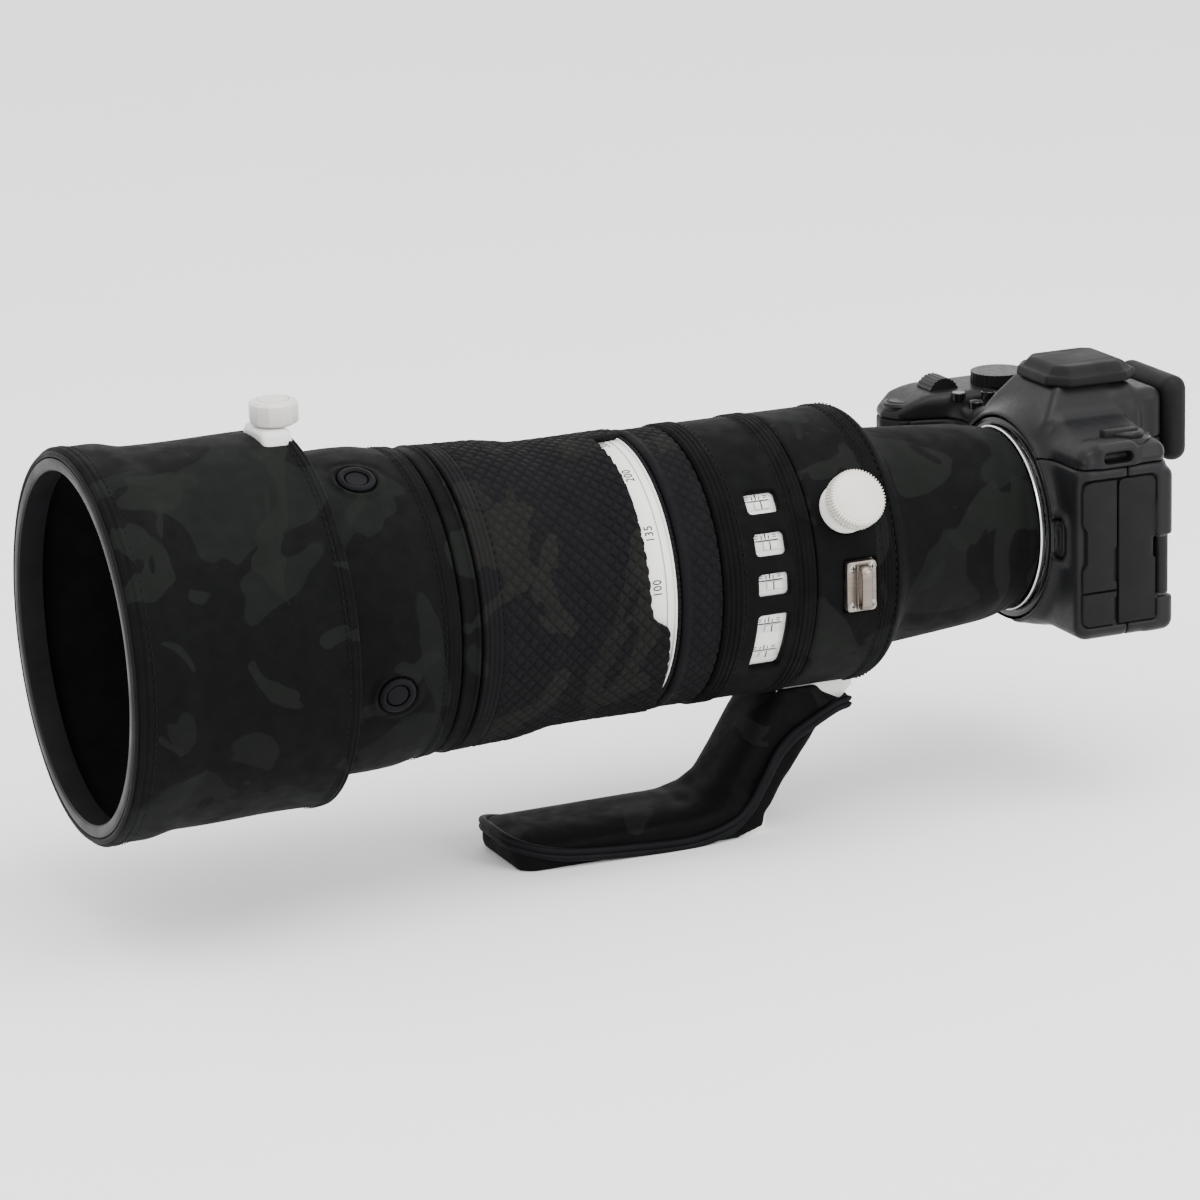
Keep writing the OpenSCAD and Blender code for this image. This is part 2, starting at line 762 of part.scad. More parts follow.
module screen_arm() {
    color("dimgray") body_place() {
        translate([hinge_at[0], hinge_at[1], hinge_z[0]])
            cylinder(h = hinge_z[1] - hinge_z[0], r = hinge_r);
        block([screen_x[1], screen_y[0] + 1, hinge_z[0]], [hinge_at[0], screen_y[1] - 0.6, hinge_z[1]]);
    }
}

module screen_panel() {
    color("black") body_place() difference() {
        block([screen_x[0], screen_y[0], screen_z[0]], [screen_x[1], screen_y[1], screen_z[1]]);
        block([screen_x[0] + 6, screen_y[1] - 0.6, screen_z[0] + 6],
            [screen_x[1] - 6, 60, screen_z[1] - 6]);
    }
}

// A port door, with the round barrel of its hinge along its front edge
module door(y0, y1, z0, z1) {
    barrel = door_thick / 2;
    color("black") body_place() {
        block([body_right - door_thick, y0 + barrel, z0], [body_right, y1, z1]);
        translate([body_right - barrel, y0 + barrel, z0]) cylinder(h = z1 - z0, r = barrel);
    }
}

module port_door_front() { door(port_y[0], port_y[1], port_split_z + 0.3, port_z[1]); }
module port_door_lower() { door(port_y[0], port_y[1], port_z[0], port_split_z - 0.3); }
module port_door_rear() { door(port_y[2], port_y[3], port_z[0], port_z[1]); }

module lens_release() {
    color("black") body_place() translate([release_at[0], 3, release_at[1]]) rotate([90, 0, 0])
        cylinder(h = 5.2, r = release_r);
}

module battery_door() {
    low = battery_door_box[0];
    high = battery_door_box[1];
    color("dimgray") body_place() difference() {
        union() {
            block([low[0], low[1], body_bottom], [high[0] - wall / 2, high[1], body_bottom + wall]);
            translate([high[0] - wall / 2, high[1], body_bottom + wall / 2]) rotate([90, 0, 0])
                cylinder(h = high[1] - low[1], r = wall / 2);
        }
        translate([low[0] + 4, 0, body_bottom - 0.4]) cylinder(h = 1, r = 3);
    }
}

module rear_dial() {
    color("black") body_place() translate([rear_dial_at[0], body_back + 0.3, rear_dial_at[1]])
        rotate([-90, 0, 0]) {
            difference() {
                cog(rear_dial_r, 2.4, 40, 0.3);
                translate([0, 0, 1]) cylinder(h = 3, r = 6);
            }
            cylinder(h = 1.8, r = 4.5);
            translate([0, 0, -3]) cylinder(h = 4, r = 3);
        }
}

module rear_buttons() {
    color("black") body_place() for (p = rear_button_spots)
        translate([p[0], body_back - wall, p[1]]) rotate([-90, 0, 0])
            cylinder(h = wall + 1.2, r = rear_button_r);
}

tripod_collar();
tripod_foot();
mounting_screws();
foot_cover();
collar_cover();
strap_brackets();
collar_knob();
core_tube();
rear_barrel();
rear_cover();
lens_bayonet();
rear_optics();
switch_housing();
switch_cover();
front_barrel();
front_barrel_cover();
front_lens();
zoom_ring();
zoom_cover();
zoom_cell();
focus_ring();
focus_cover();
focus_cell();
control_ring();
control_cover();
focus_mode_switch();
focus_limit_switch();
preset_switch();
stabiliser_switch();
stabiliser_mode_switch();
function_button_upper_right();
function_button_lower_right();
function_button_lower_left();
function_button_upper_left();
hood_shell();
hood_lip();
hood_cover();
hood_knob();
body_shell();
top_cover();
rear_shell();
grip_rubber();
body_mount();
sensor_unit();
eyecup();
battery();
shoe_cover();
shutter_button();
front_dial();
top_dial();
mode_lever();
screen_arm();
screen_panel();
port_door_front();
port_door_lower();
port_door_rear();
lens_release();
battery_door();
rear_dial();
rear_buttons();
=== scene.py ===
"""Looks for the camera with a tele zoom lens in a fabric coat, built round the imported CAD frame."""

import json
from math import cos, pi, radians, sin, sqrt

import bmesh
import bpy
import numpy as np
from mathutils import Matrix, Vector


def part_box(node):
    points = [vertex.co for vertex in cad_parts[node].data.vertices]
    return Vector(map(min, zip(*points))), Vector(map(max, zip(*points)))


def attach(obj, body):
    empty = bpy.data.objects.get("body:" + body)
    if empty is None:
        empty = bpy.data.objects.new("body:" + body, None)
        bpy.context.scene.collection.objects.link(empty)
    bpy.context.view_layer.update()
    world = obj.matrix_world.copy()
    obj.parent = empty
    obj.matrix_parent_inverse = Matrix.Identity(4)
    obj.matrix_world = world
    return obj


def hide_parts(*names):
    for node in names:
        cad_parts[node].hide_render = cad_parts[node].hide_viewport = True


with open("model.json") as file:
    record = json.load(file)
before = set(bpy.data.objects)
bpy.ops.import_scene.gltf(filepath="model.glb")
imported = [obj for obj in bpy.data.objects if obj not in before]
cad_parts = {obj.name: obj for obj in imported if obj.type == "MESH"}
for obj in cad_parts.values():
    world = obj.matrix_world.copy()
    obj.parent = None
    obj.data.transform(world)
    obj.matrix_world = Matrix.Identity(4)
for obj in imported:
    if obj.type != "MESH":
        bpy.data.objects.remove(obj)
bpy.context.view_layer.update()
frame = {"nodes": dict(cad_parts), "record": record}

MM = 0.001

# ---- Where the lens is, worked out from the frame ----

BAYONET_LOW, BAYONET_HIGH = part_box("lens_bayonet")
AXIS_Z = (BAYONET_LOW.z + BAYONET_HIGH.z) / 2
PLATE_FRONT = 3 * MM  # how far the bayonet's plate stands in front of the flange
FLANGE_Y = BAYONET_LOW.y + PLATE_FRONT


def lens_point(t, r, angle):
    """A point round the lens axis. t and r in mm, the angle in radians from +X up."""
    x, z = r * MM * np.cos(angle), AXIS_Z + r * MM * np.sin(angle)
    return np.stack([x, FLANGE_Y - t * MM + 0 * r, z], -1)


def camera_point(x, y, z):
    """A point in the camera's own coordinates, mm from the middle of the mount."""
    return Vector((x * MM, FLANGE_Y + y * MM, AXIS_Z + z * MM))


MOUNT_MIDDLE = np.array(camera_point(0, 0, 0))


# ---- Camera and light ----

VIEW_AZIMUTH = radians(66.64)
VIEW_ELEVATION = radians(15.46)
VIEW_ROLL = radians(-1.61)
VIEW_DISTANCE = 1.883
VIEW_AIM = Vector((0, -0.0118, 0.1003))
FOCAL_MM = 142.92


def view_axes(azimuth, elevation):
    back = Vector((sin(azimuth) * cos(elevation), -cos(azimuth) * cos(elevation),
                   sin(elevation)))
    right = Vector((cos(azimuth), sin(azimuth), 0))
    return right, back.cross(right), back


def add_camera():
    right, up, back = view_axes(VIEW_AZIMUTH, VIEW_ELEVATION)
    cos_roll, sin_roll = cos(VIEW_ROLL), sin(VIEW_ROLL)
    rolled_right = right * cos_roll + up * sin_roll
    rolled_up = up * cos_roll - right * sin_roll
    data = bpy.data.cameras.new("main_camera")
    data.sensor_width = 36
    data.lens = FOCAL_MM
    data.clip_end = 50
    camera = bpy.data.objects.new("main_camera", data)
    turn = Matrix((rolled_right, rolled_up, back)).transposed().to_4x4()
    camera.matrix_world = Matrix.Translation(VIEW_AIM + back * VIEW_DISTANCE) @ turn
    bpy.context.scene.collection.objects.link(camera)
    bpy.context.scene.camera = camera


def add_light(name, at, aim, size, power, color=(1, 1, 1)):
    data = bpy.data.lights.new(name, "AREA")
    data.shape = "RECTANGLE"
    data.size, data.size_y = size
    data.energy = power
    data.color = color
    light = bpy.data.objects.new(name, data)
    light.location = at
    light.rotation_euler = (Vector(aim) - Vector(at)).to_track_quat("-Z", "Y").to_euler()
    bpy.context.scene.collection.objects.link(light)


def add_studio():
    world = bpy.data.worlds.new("studio")
    world.use_nodes = True
    world.node_tree.nodes["Background"].inputs["Color"].default_value = (1, 1, 1, 1)
    world.node_tree.nodes["Background"].inputs["Strength"].default_value = 2.1
    bpy.context.scene.world = world
    add_light("top_softbox", (0.5, 0.3, 1.9), (0, 0, 0.1), (1.4, 1.4), 34)
    add_light("side_softbox", (1.6, 1.0, 0.9), (0, 0, 0.1), (0.9, 1.2), 16)
    add_light("front_softbox", (0.9, -1.9, 0.9), (0, 0, 0.12), (0.8, 0.8), 12)


# ---- Small mesh kit ----

def make_object(name, points, faces, material, body, node=None):
    """A smooth-shaded mesh piece that rides on a body. faces is an array of quads or a list of lists."""
    points = np.asarray(points, np.float32).reshape(-1, 3)
    if isinstance(faces, np.ndarray):
        faces = [faces]
    flat = np.concatenate([np.asarray(f, np.int32).ravel() for f in faces])
    sizes = np.concatenate([np.full(len(f), f.shape[1]) if isinstance(f, np.ndarray) else [len(f)]
                            for f in faces]).astype(np.int32)
    mesh = bpy.data.meshes.new(name)
    mesh.vertices.add(len(points))
    mesh.vertices.foreach_set("co", points.ravel())
    mesh.loops.add(len(flat))
    mesh.loops.foreach_set("vertex_index", flat)
    mesh.polygons.add(len(sizes))
    mesh.polygons.foreach_set("loop_start", np.concatenate([[0], np.cumsum(sizes)[:-1]]).astype(np.int32))
    mesh.polygons.foreach_set("use_smooth", np.ones(len(sizes), bool))
    mesh.update(calc_edges=True)
    mesh.validate()
    piece = bpy.data.objects.new(name, mesh)
    bpy.context.scene.collection.objects.link(piece)
    mesh.materials.append(material)
    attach(piece, body)
    if node:
        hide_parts(node)
    return piece


def sharpen(piece, degrees=35):
    """Turns faces outwards, and keeps edges crisp where they meet at more than this angle."""
    work = bmesh.new()
    work.from_mesh(piece.data)
    bmesh.ops.recalc_face_normals(work, faces=work.faces)
    limit = radians(degrees)
    for edge in work.edges:
        if len(edge.link_faces) == 2 and edge.calc_face_angle(0) > limit:
            edge.smooth = False
    work.to_mesh(piece.data)
    work.free()
    return piece


def turn_steps(count):
    """Angles of equal steps once round."""
    return np.linspace(0, 2 * pi, count, endpoint=False)


def ring_quads(rows, steps, closed):
    """Quads over rows of points that each run once round."""
    i, j = np.meshgrid(np.arange(rows if closed else rows - 1), np.arange(steps), indexing="ij")
    k, m = (i + 1) % rows, (j + 1) % steps
    return np.stack([i * steps + j, i * steps + m, k * steps + m, k * steps + j], -1).reshape(-1, 4)


def turned(name, body, origin, axis, profile, material, steps=64, shape=None, node=None, crisp=32):
    """A turned piece. profile is (radius, height) points in mm, closed on itself unless it ends on the
    axis. shape(angle, radius, height) may add to the radius, as for a knurl."""
    axis = Vector(axis).normalized()
    side = Vector((0, -1, 0)) if abs(axis.y) < 0.9 else Vector((1, 0, 0))
    across = axis.cross(side)
    profile = np.array(profile, float)
    capped = profile[0, 0] == 0 and profile[-1, 0] == 0
    if capped:
        bottom, top = profile[0, 1], profile[-1, 1]
        profile = profile[1:-1]
    angle = turn_steps(steps)[None]
    r, h = profile[:, :1] + 0 * angle, profile[:, 1:] + 0 * angle
    if shape is not None:
        r = r + shape(angle, r, h)
    x = r * np.cos(angle)
    y = r * np.sin(angle)
    points = np.stack([x, y, h], -1).reshape(-1, 3)
    faces = [ring_quads(len(profile), steps, not capped)]
    if capped:
        points = np.concatenate([points, [[0, 0, bottom], [0, 0, top]]])
        j = np.arange(steps)
        last = (len(profile) - 1) * steps
        faces.append(np.stack([(j + 1) % steps, j, np.full(steps, len(points) - 2)], 1))
        faces.append(np.stack([last + j, last + (j + 1) % steps, np.full(steps, len(points) - 1)], 1))
    turn = np.array([side, across, axis])
    world = np.array(origin) + points * MM @ turn
    return sharpen(make_object(name, world, faces, material, body, node), crisp)


def on_lens(name, body, profile, material, node=None, steps=256, shape=None, crisp=32):
    """A ring round the lens axis. profile is [distance in front of the flange, radius] points in mm."""
    return turned(name, body, (0, FLANGE_Y, AXIS_Z), (0, -1, 0), [(r, t) for t, r in profile], material,
                  steps, shape, node, crisp)


def radial_place(t, r, degrees):
    """The point and the outward direction at an angle on the lens."""
    a = radians(degrees)
    point = Vector((r * MM * cos(a), FLANGE_Y - t * MM, AXIS_Z + r * MM * sin(a)))
    return point, Vector((cos(a), 0, sin(a)))


def closed_shell(outer, inner, keep):
    """Points and quads of a shell between two grids that run round once. keep says which cells are
    cloth."""
    rows, steps = outer.shape[:2]
    size = rows * steps
    i, j = np.nonzero(keep)
    corners = [i * steps + j, i * steps + (j + 1) % steps, (i + 1) * steps + (j + 1) % steps,
        (i + 1) * steps + j]
    quads = [np.stack(corners, 1), np.stack(corners[::-1], 1) + size]
    padded = np.pad(keep, ((1, 1), (0, 0)))
    beside = [padded[:-2], np.roll(keep, -1, 1), padded[2:], np.roll(keep, 1, 1)]
    for side in range(4):
        open_edge = ~beside[side][i, j]
        p, q = corners[side][open_edge], corners[(side + 1) % 4][open_edge]
        quads.append(np.stack([q, p, p + size, q + size], 1))
    quads = np.concatenate(quads)
    used, renumbered = np.unique(quads, return_inverse=True)
    return np.concatenate([outer.reshape(-1, 3), inner.reshape(-1, 3)])[used], renumbered.reshape(-1, 4)


def smooth_path(points, step=1.0):
    """A soft curve through a few points, as evenly spaced points."""
    points = np.array(points, float)
    ends = np.concatenate([[2 * points[0] - points[1]], points, [2 * points[-1] - points[-2]]])
    fine = []
    for k in range(1, len(ends) - 2):
        p0, p1, p2, p3 = ends[k - 1:k + 3]
        s = np.linspace(0, 1, 24, endpoint=False)[:, None]
        fine.append(0.5 * (2 * p1 + (p2 - p0) * s + (2 * p0 - 5 * p1 + 4 * p2 - p3) * s ** 2
                           + (3 * p1 - p0 - 3 * p2 + p3) * s ** 3))
    fine = np.concatenate(fine + [points[-1:]])
    along = np.concatenate([[0], np.cumsum(np.linalg.norm(np.diff(fine, axis=0), axis=1))])
    count = max(int(along[-1] / step), 2)
    return np.stack([np.interp(np.linspace(0, along[-1], count), along, fine[:, k]) for k in range(3)], 1)


def tube_mesh(path, radius, up=(0, 0, 1), sides=12):
    """Points and faces of a tube with rounded ends, in the path's own units."""
    forward = np.gradient(path, axis=0)
    forward /= np.linalg.norm(forward, axis=1)[:, None]
    side = np.cross(forward, np.array(up, float))
    side /= np.linalg.norm(side, axis=1)[:, None]
    top = np.cross(side, forward)
    angle = turn_steps(sides)
    gain = np.ones(len(path))
    gain[[0, -1]] = 0.35
    gain[[1, -2]] = 0.85
    r = radius * gain[:, None, None]
    ring = np.cos(angle)[None, :, None] * side[:, None] + np.sin(angle)[None, :, None] * top[:, None]
    points = (path[:, None] + r * ring).reshape(-1, 3)
    last = (len(path) - 1) * sides
    caps = [list(range(sides)), list(range(last, last + sides))[::-1]]
    return points, [ring_quads(len(path), sides, False)] + caps


def merge(parts):
    """Several (points, faces) as one."""
    points, faces, start = [], [], 0
    for some_points, some_faces in parts:
        points.append(some_points)
        for f in some_faces:
            faces.append(f + start if isinstance(f, np.ndarray) else [v + start for v in f])
        start += len(some_points)
    return np.concatenate(points), faces


def inset(outline, depth):
    """A flat outline moved inwards; it runs counter-clockwise."""
    outline = np.array(outline, float)
    before, after = np.roll(outline, 1, 0), np.roll(outline, -1, 0)
    normals = []
    for a, b in ((before, outline), (outline, after)):
        d = b - a
        d /= np.maximum(np.linalg.norm(d, axis=1), 1e-9)[:, None]
        normals.append(np.stack([-d[:, 1], d[:, 0]], 1))
    middle = normals[0] + normals[1]
    length = np.maximum((middle * normals[0]).sum(1), 0.4)
    return outline + middle * (depth / length)[:, None]


def rounded(x0, x1, y0, y1, r, steps=5):
    """A rounded rectangle, counter-clockwise."""
    spots = []
    for cx, cy, start in ((x1 - r, y0 + r, -90), (x1 - r, y1 - r, 0), (x0 + r, y1 - r, 90),
            (x0 + r, y0 + r, 180)):
        for k in range(steps + 1):
            a = radians(start + 90 * k / steps)
            spots.append((cx + r * cos(a), cy + r * sin(a)))
    return spots


def plate_mesh(outline, low, high, place, bevel=0.3):
    """Points and faces of a flat plate with a rounded upper edge. place(u, v, h) puts it in the frame."""
    area = sum(a[0] * b[1] - b[0] * a[1] for a, b in zip(outline, np.roll(outline, -1, 0)))
    outline = np.array(outline, float)[::1 if area > 0 else -1]
    rows = [(outline, low), (outline, high - bevel), (inset(outline, 0.3 * bevel), high - 0.3 * bevel),
            (inset(outline, bevel), high)]
    points = np.concatenate([np.column_stack([o, np.full(len(o), h)]) for o, h in rows])
    count = len(outline)
    world = np.array([place(*p) for p in points])
    caps = [list(range(count))[::-1], list(range(3 * count, 4 * count))]
    return world, [ring_quads(4, count, False)] + caps


def plates(name, body, many, place, material, node=None):
    """One piece made of several flat plates, each (outline, low, high, bevel)."""
    parts = [plate_mesh(outline, low, high, place, bevel) for outline, low, high, bevel in many]
    return sharpen(make_object(name, *merge(parts), material, body, node), 40)


# ---- Surfaces from distance fields ----

NET_EDGES = [(a, b) for a in range(8) for b in range(a + 1, 8) if bin(a ^ b).count("1") == 1]
NET_CORNERS = [np.array([c >> 2 & 1, c >> 1 & 1, c & 1]) for c in range(8)]


def surface_net(values, low, step):
    """The zero surface of a field as points and quads. The field is below 0 inside."""
    inside = values < 0
    size = np.array(values.shape) - 1
    count = np.zeros(size, np.int8)
    for c in NET_CORNERS:
        count += inside[c[0]:size[0] + c[0], c[1]:size[1] + c[1], c[2]:size[2] + c[2]]
    active = (count > 0) & (count < 8)
    cells = np.argwhere(active)
    index = np.full(active.shape, -1, np.int64)
    index[active] = np.arange(len(cells))
    total, hits = np.zeros((len(cells), 3)), np.zeros(len(cells))
    corner_values = [values[tuple((cells + c).T)] for c in NET_CORNERS]
    for a, b in NET_EDGES:
        va, vb = corner_values[a], corner_values[b]
        cross = (va < 0) != (vb < 0)
        share = np.where(cross, va / np.where(cross, va - vb, 1), 0)
        total += cross[:, None] * (NET_CORNERS[a] + share[:, None] * (NET_CORNERS[b] - NET_CORNERS[a]))
        hits += cross
    points = np.array(low) + (cells + total / hits[:, None]) * step
    quads = []
    for axis in range(3):
        u, v = [i for i in range(3) if i != axis]
        first = [slice(1, -1)] * 3
        first[axis] = slice(0, -1)
        second = list(first)
        second[axis] = slice(1, None)
        here, there = inside[tuple(first)], inside[tuple(second)]
        for sign in (True, False):
            spot = np.argwhere(here & ~there if sign else ~here & there)
            offset = np.ones(3, int)
            offset[axis] = 0
            spot = spot + offset
            du, dv = np.eye(3, dtype=int)[u], np.eye(3, dtype=int)[v]
            ring = [spot - du - dv, spot - dv, spot, spot - du]
            if sign == (axis == 1):
                ring = ring[::-1]
            quads.append(np.stack([index[tuple(p.T)] for p in ring], 1))
    return points, np.concatenate(quads)


def relax(points, quads, rounds=2, share=0.5):
    """Evens out a mesh by moving each point towards the middle of its neighbours."""
    ends = np.concatenate([quads[:, [0, 1]], quads[:, [1, 2]], quads[:, [2, 3]], quads[:, [3, 0]]])
    ends = np.concatenate([ends, ends[:, ::-1]])
    degree = np.bincount(ends[:, 0], minlength=len(points))[:, None]
    for _ in range(rounds):
        total = np.stack([np.bincount(ends[:, 0], points[ends[:, 1], k], len(points)) for k in range(3)], 1)
        points = points + share * (total / np.maximum(degree, 1) - points)
    return points


def sculpt(name, body, field, low, high, step, material, node=None):
    """A piece whose surface is where field(x, y, z) is 0, all in mm."""
    axes = [np.arange(low[k], high[k] + step, step) for k in range(3)]
    x, y, z = np.meshgrid(*axes, indexing="ij", sparse=True)
    values = np.broadcast_to(field(x, y, z), [len(a) for a in axes]).astype(np.float32)
    points, quads = surface_net(values, low, step)
    points = relax(points, quads)
    return make_object(name, points * MM + MOUNT_MIDDLE, quads, material, body, node)


def box_field(x, y, z, low, high, r=0.0):
    """Distance to a box with rounded edges."""
    q = [np.abs(v - (a + b) / 2) - (b - a) / 2 + r for v, a, b in zip((x, y, z), low, high)]
    outside = np.sqrt(sum(np.maximum(v, 0) ** 2 for v in q))
    return outside + np.minimum(np.maximum(np.maximum(q[0], q[1]), q[2]), 0) - r


def polygon_field(u, v, outline):
    """Distance to a flat outline, below 0 inside."""
    outline = np.array(outline, float)
    best = None
    inside = None
    for a, b in zip(outline, np.roll(outline, -1, 0)):
        edge = b - a
        wu, wv = u - a[0], v - a[1]
        share = np.clip((wu * edge[0] + wv * edge[1]) / (edge @ edge), 0, 1)
        d = (wu - edge[0] * share) ** 2 + (wv - edge[1] * share) ** 2
        best = d if best is None else np.minimum(best, d)
        cross = ((a[1] > v) != (b[1] > v)) & (wu < edge[0] * wv / (edge[1] if edge[1] else 1e-9))
        inside = cross if inside is None else inside ^ cross
    return np.where(inside, -1, 1) * np.sqrt(best)


def prism(flat, across, half, r):
    """An outline's distance, made as thick as 2 * half with rounded edges."""
    w0, w1 = flat + r, np.abs(across) - half + r
    return np.minimum(np.maximum(w0, w1), 0) + np.sqrt(np.maximum(w0, 0) ** 2 + np.maximum(w1, 0) ** 2) - r


def join(a, b, k=0.0):
    """The union of two fields, blended over k mm."""
    if k <= 0:
        return np.minimum(a, b)
    h = np.maximum(k - np.abs(a - b), 0) / k
    return np.minimum(a, b) - h * h * k / 4


def cut(a, b, k=0.0):
    """Field a without field b, with the edge rounded over k mm."""
    return -join(-a, b, k)


def common(a, b, k=0.0):
    return -join(-a, -b, k)


# ---- Materials ----

class Recipe:
    """A material's node tree, put together with short calls."""

    def __init__(self, name):
        self.material = bpy.data.materials.new(name)
        self.material.use_nodes = True
        self.tree = self.material.node_tree
        self.shader = self.tree.nodes["Principled BSDF"]
        self.place = self.node("ShaderNodeTexCoord", {})["Object"]

    def node(self, kind, inputs, **settings):
        made = self.tree.nodes.new(kind)
        for key, value in settings.items():
            setattr(made, key, value)
        for key, value in inputs.items():
            self.link(value, made.inputs[key])
        return made.outputs

    def link(self, source, target):
        if isinstance(source, (int, float, tuple)):
            target.default_value = source
        else:
            self.tree.links.new(source, target)

    def noise(self, scale, detail=2.0, rough=0.5, distortion=0.0, place=None):
        return self.node("ShaderNodeTexNoise", {
            "Vector": place or self.place, "Scale": scale, "Detail": detail, "Roughness": rough,
            "Distortion": distortion})["Fac"]

    def cells(self, scale, feature="F1", randomness=1.0):
        return self.node("ShaderNodeTexVoronoi", {
            "Vector": self.place, "Scale": scale, "Randomness": randomness}, feature=feature)["Distance"]

    def moved(self, offset, scale=(1, 1, 1)):
        return self.node("ShaderNodeMapping", {
            "Vector": self.place, "Location": offset, "Scale": scale})["Vector"]

    def step(self, value, low, high, start=0.0, end=1.0):
        return self.node("ShaderNodeMapRange", {
            "Value": value, "From Min": low, "From Max": high, "To Min": start, "To Max": end})["Result"]

    def math(self, operation, a, b=0.0):
        return self.node("ShaderNodeMath", {0: a, 1: b}, operation=operation)["Value"]

    def mix(self, share, a, b):
        a, b = ((*c, 1) if isinstance(c, tuple) else c for c in (a, b))
        return self.node("ShaderNodeMix", {"Factor": share, "A": a, "B": b}, data_type="RGBA")["Result"]

    def bump(self, height, distance_mm, strength=1.0, under=None):
        inputs = {"Strength": strength, "Distance": distance_mm * MM, "Height": height}
        if under is not None:
            inputs["Normal"] = under
        return self.node("ShaderNodeBump", inputs)["Normal"]

    def finish(self, color, roughness, normal, **constants):
        for key, value in (("Base Color", color), ("Roughness", roughness), ("Normal", normal)):
            self.link(value, self.shader.inputs[key])
        for key, value in constants.items():
            self.shader.inputs[key.replace("_", " ")].default_value = value
        return self.material


def coat_fabric(name, dark, blot, light, fleck=(0.009, 0.009, 0.0095), knit=900, weave_depth=0.12):
    """Neoprene with a jersey face and a printed leaf camouflage."""
    m = Recipe(name)
    big = m.noise(12.5, 2.4, 0.42, 1.7)
    small = m.noise(19, 2.0, 0.45, 2.0, m.moved((3.1, 1.7, 5.3)))
    leaves = m.step(big, 0.545, 0.552)
    shade = m.step(small, 0.585, 0.592)
    color = m.mix(leaves, dark, blot)
    color = m.mix(m.math("MULTIPLY", shade, 0.75), color, light)
    dust = m.step(m.noise(260, 3, 0.6), 0.35, 0.75, 0.0, 0.22)
    color = m.mix(dust, color, fleck)
    thread = m.cells(knit, "F1", 0.35)
    normal = m.bump(thread, weave_depth, 0.35)
    normal = m.bump(m.noise(38, 2, 0.5), 1.2, 0.16, normal)
    rough = m.step(m.noise(120, 2, 0.5), 0.3, 0.7, 0.62, 0.78)
    return m.finish(color, rough, normal, Sheen_Weight=0.004, Sheen_Roughness=0.5, Specular_IOR_Level=0.045)


def grain_plastic(name, color, lighter, roughness=0.5, grain=1500, depth=0.05, specular=0.4):
    m = Recipe(name)
    cloud = m.noise(45, 3, 0.55)
    tone = m.mix(m.step(cloud, 0.3, 0.7), color, lighter)
    pits = m.cells(grain, "SMOOTH_F1")
    normal = m.bump(pits, depth, 0.3)
    rough = m.step(m.noise(400, 2, 0.6), 0.3, 0.7, roughness - 0.05, roughness + 0.07)
    return m.finish(tone, rough, normal, Specular_IOR_Level=specular)


def soft_rubber(name, color, lighter, roughness=0.62, depth=0.05, specular=0.2):
    m = Recipe(name)
    tone = m.mix(m.step(m.noise(90, 4, 0.6), 0.3, 0.75), color, lighter)
    normal = m.bump(m.noise(1700, 2, 0.5), depth, 0.35)
    rough = m.step(m.noise(70, 3, 0.5), 0.3, 0.7, roughness - 0.06, roughness + 0.08)
    return m.finish(tone, rough, normal, Specular_IOR_Level=specular)


def painted_metal(name, color, shade, roughness=0.34):
    m = Recipe(name)
    tone = m.mix(m.step(m.noise(30, 4, 0.6), 0.3, 0.75), color, shade)
    orange_peel = m.noise(900, 2, 0.5)
    normal = m.bump(orange_peel, 0.03, 0.3)
    rough = m.step(m.noise(160, 3, 0.6), 0.3, 0.7, roughness - 0.05, roughness + 0.08)
    return m.finish(tone, rough, normal, Coat_Weight=0.15, Coat_Roughness=0.25)


def bare_metal(name, color, shade, roughness=0.28, streak=(60, 60, 1400)):
    m = Recipe(name)
    lines = m.noise(1.0, 3, 0.6, 0.0, m.moved((0, 0, 0), streak))
    tone = m.mix(m.step(lines, 0.3, 0.7), color, shade)
    normal = m.bump(lines, 0.02, 0.35)
    rough = m.step(m.noise(80, 3, 0.5), 0.3, 0.7, roughness - 0.06, roughness + 0.08)
    return m.finish(tone, rough, normal, Metallic=1.0)


def coated_glass(name):
    m = Recipe(name)
    tint = m.mix(m.step(m.noise(8, 1), 0.3, 0.7), (0.012, 0.018, 0.03), (0.02, 0.03, 0.028))
    rough = m.step(m.noise(60, 2), 0.3, 0.7, 0.02, 0.05)
    normal = m.bump(m.noise(12, 1), 0.02, 0.1)
    return m.finish(tint, rough, normal, Specular_IOR_Level=0.7, Coat_Weight=1.0, Coat_Roughness=0.03,
                    Coat_IOR=1.7)


def floor_paper():
    m = Recipe("floor_paper")
    tone = m.mix(m.step(m.noise(3, 3), 0.3, 0.7), (0.86, 0.86, 0.865), (0.875, 0.875, 0.88))
    normal = m.bump(m.noise(300, 2), 0.05, 0.1)
    return m.finish(tone, 0.75, normal, Specular_IOR_Level=0.2)


COAT = coat_fabric("coat_fabric", (0.002, 0.0021, 0.0022), (0.0046, 0.0054, 0.0048),
    (0.0064, 0.0074, 0.0064), (0.005, 0.005, 0.0053))
GRIP_COAT = coat_fabric("grip_coat_fabric", (0.0044, 0.0044, 0.005), (0.0072, 0.0071, 0.0068),
                        (0.0094, 0.0091, 0.0083), (0.0085, 0.0085, 0.009), 1100, 0.1)
PANEL_COAT = coat_fabric("panel_coat_fabric", (0.0018, 0.0019, 0.002), (0.0024, 0.0027, 0.0025),
                         (0.003, 0.0033, 0.003), (0.004, 0.004, 0.0042))
PIPING = soft_rubber("piping_tape", (0.0022, 0.0022, 0.003), (0.0038, 0.0038, 0.005), 0.6, 0.05, 0.08)
THREAD = soft_rubber("sewing_thread", (0.0045, 0.0045, 0.0052), (0.007, 0.007, 0.008), 0.7, 0.05, 0.08)
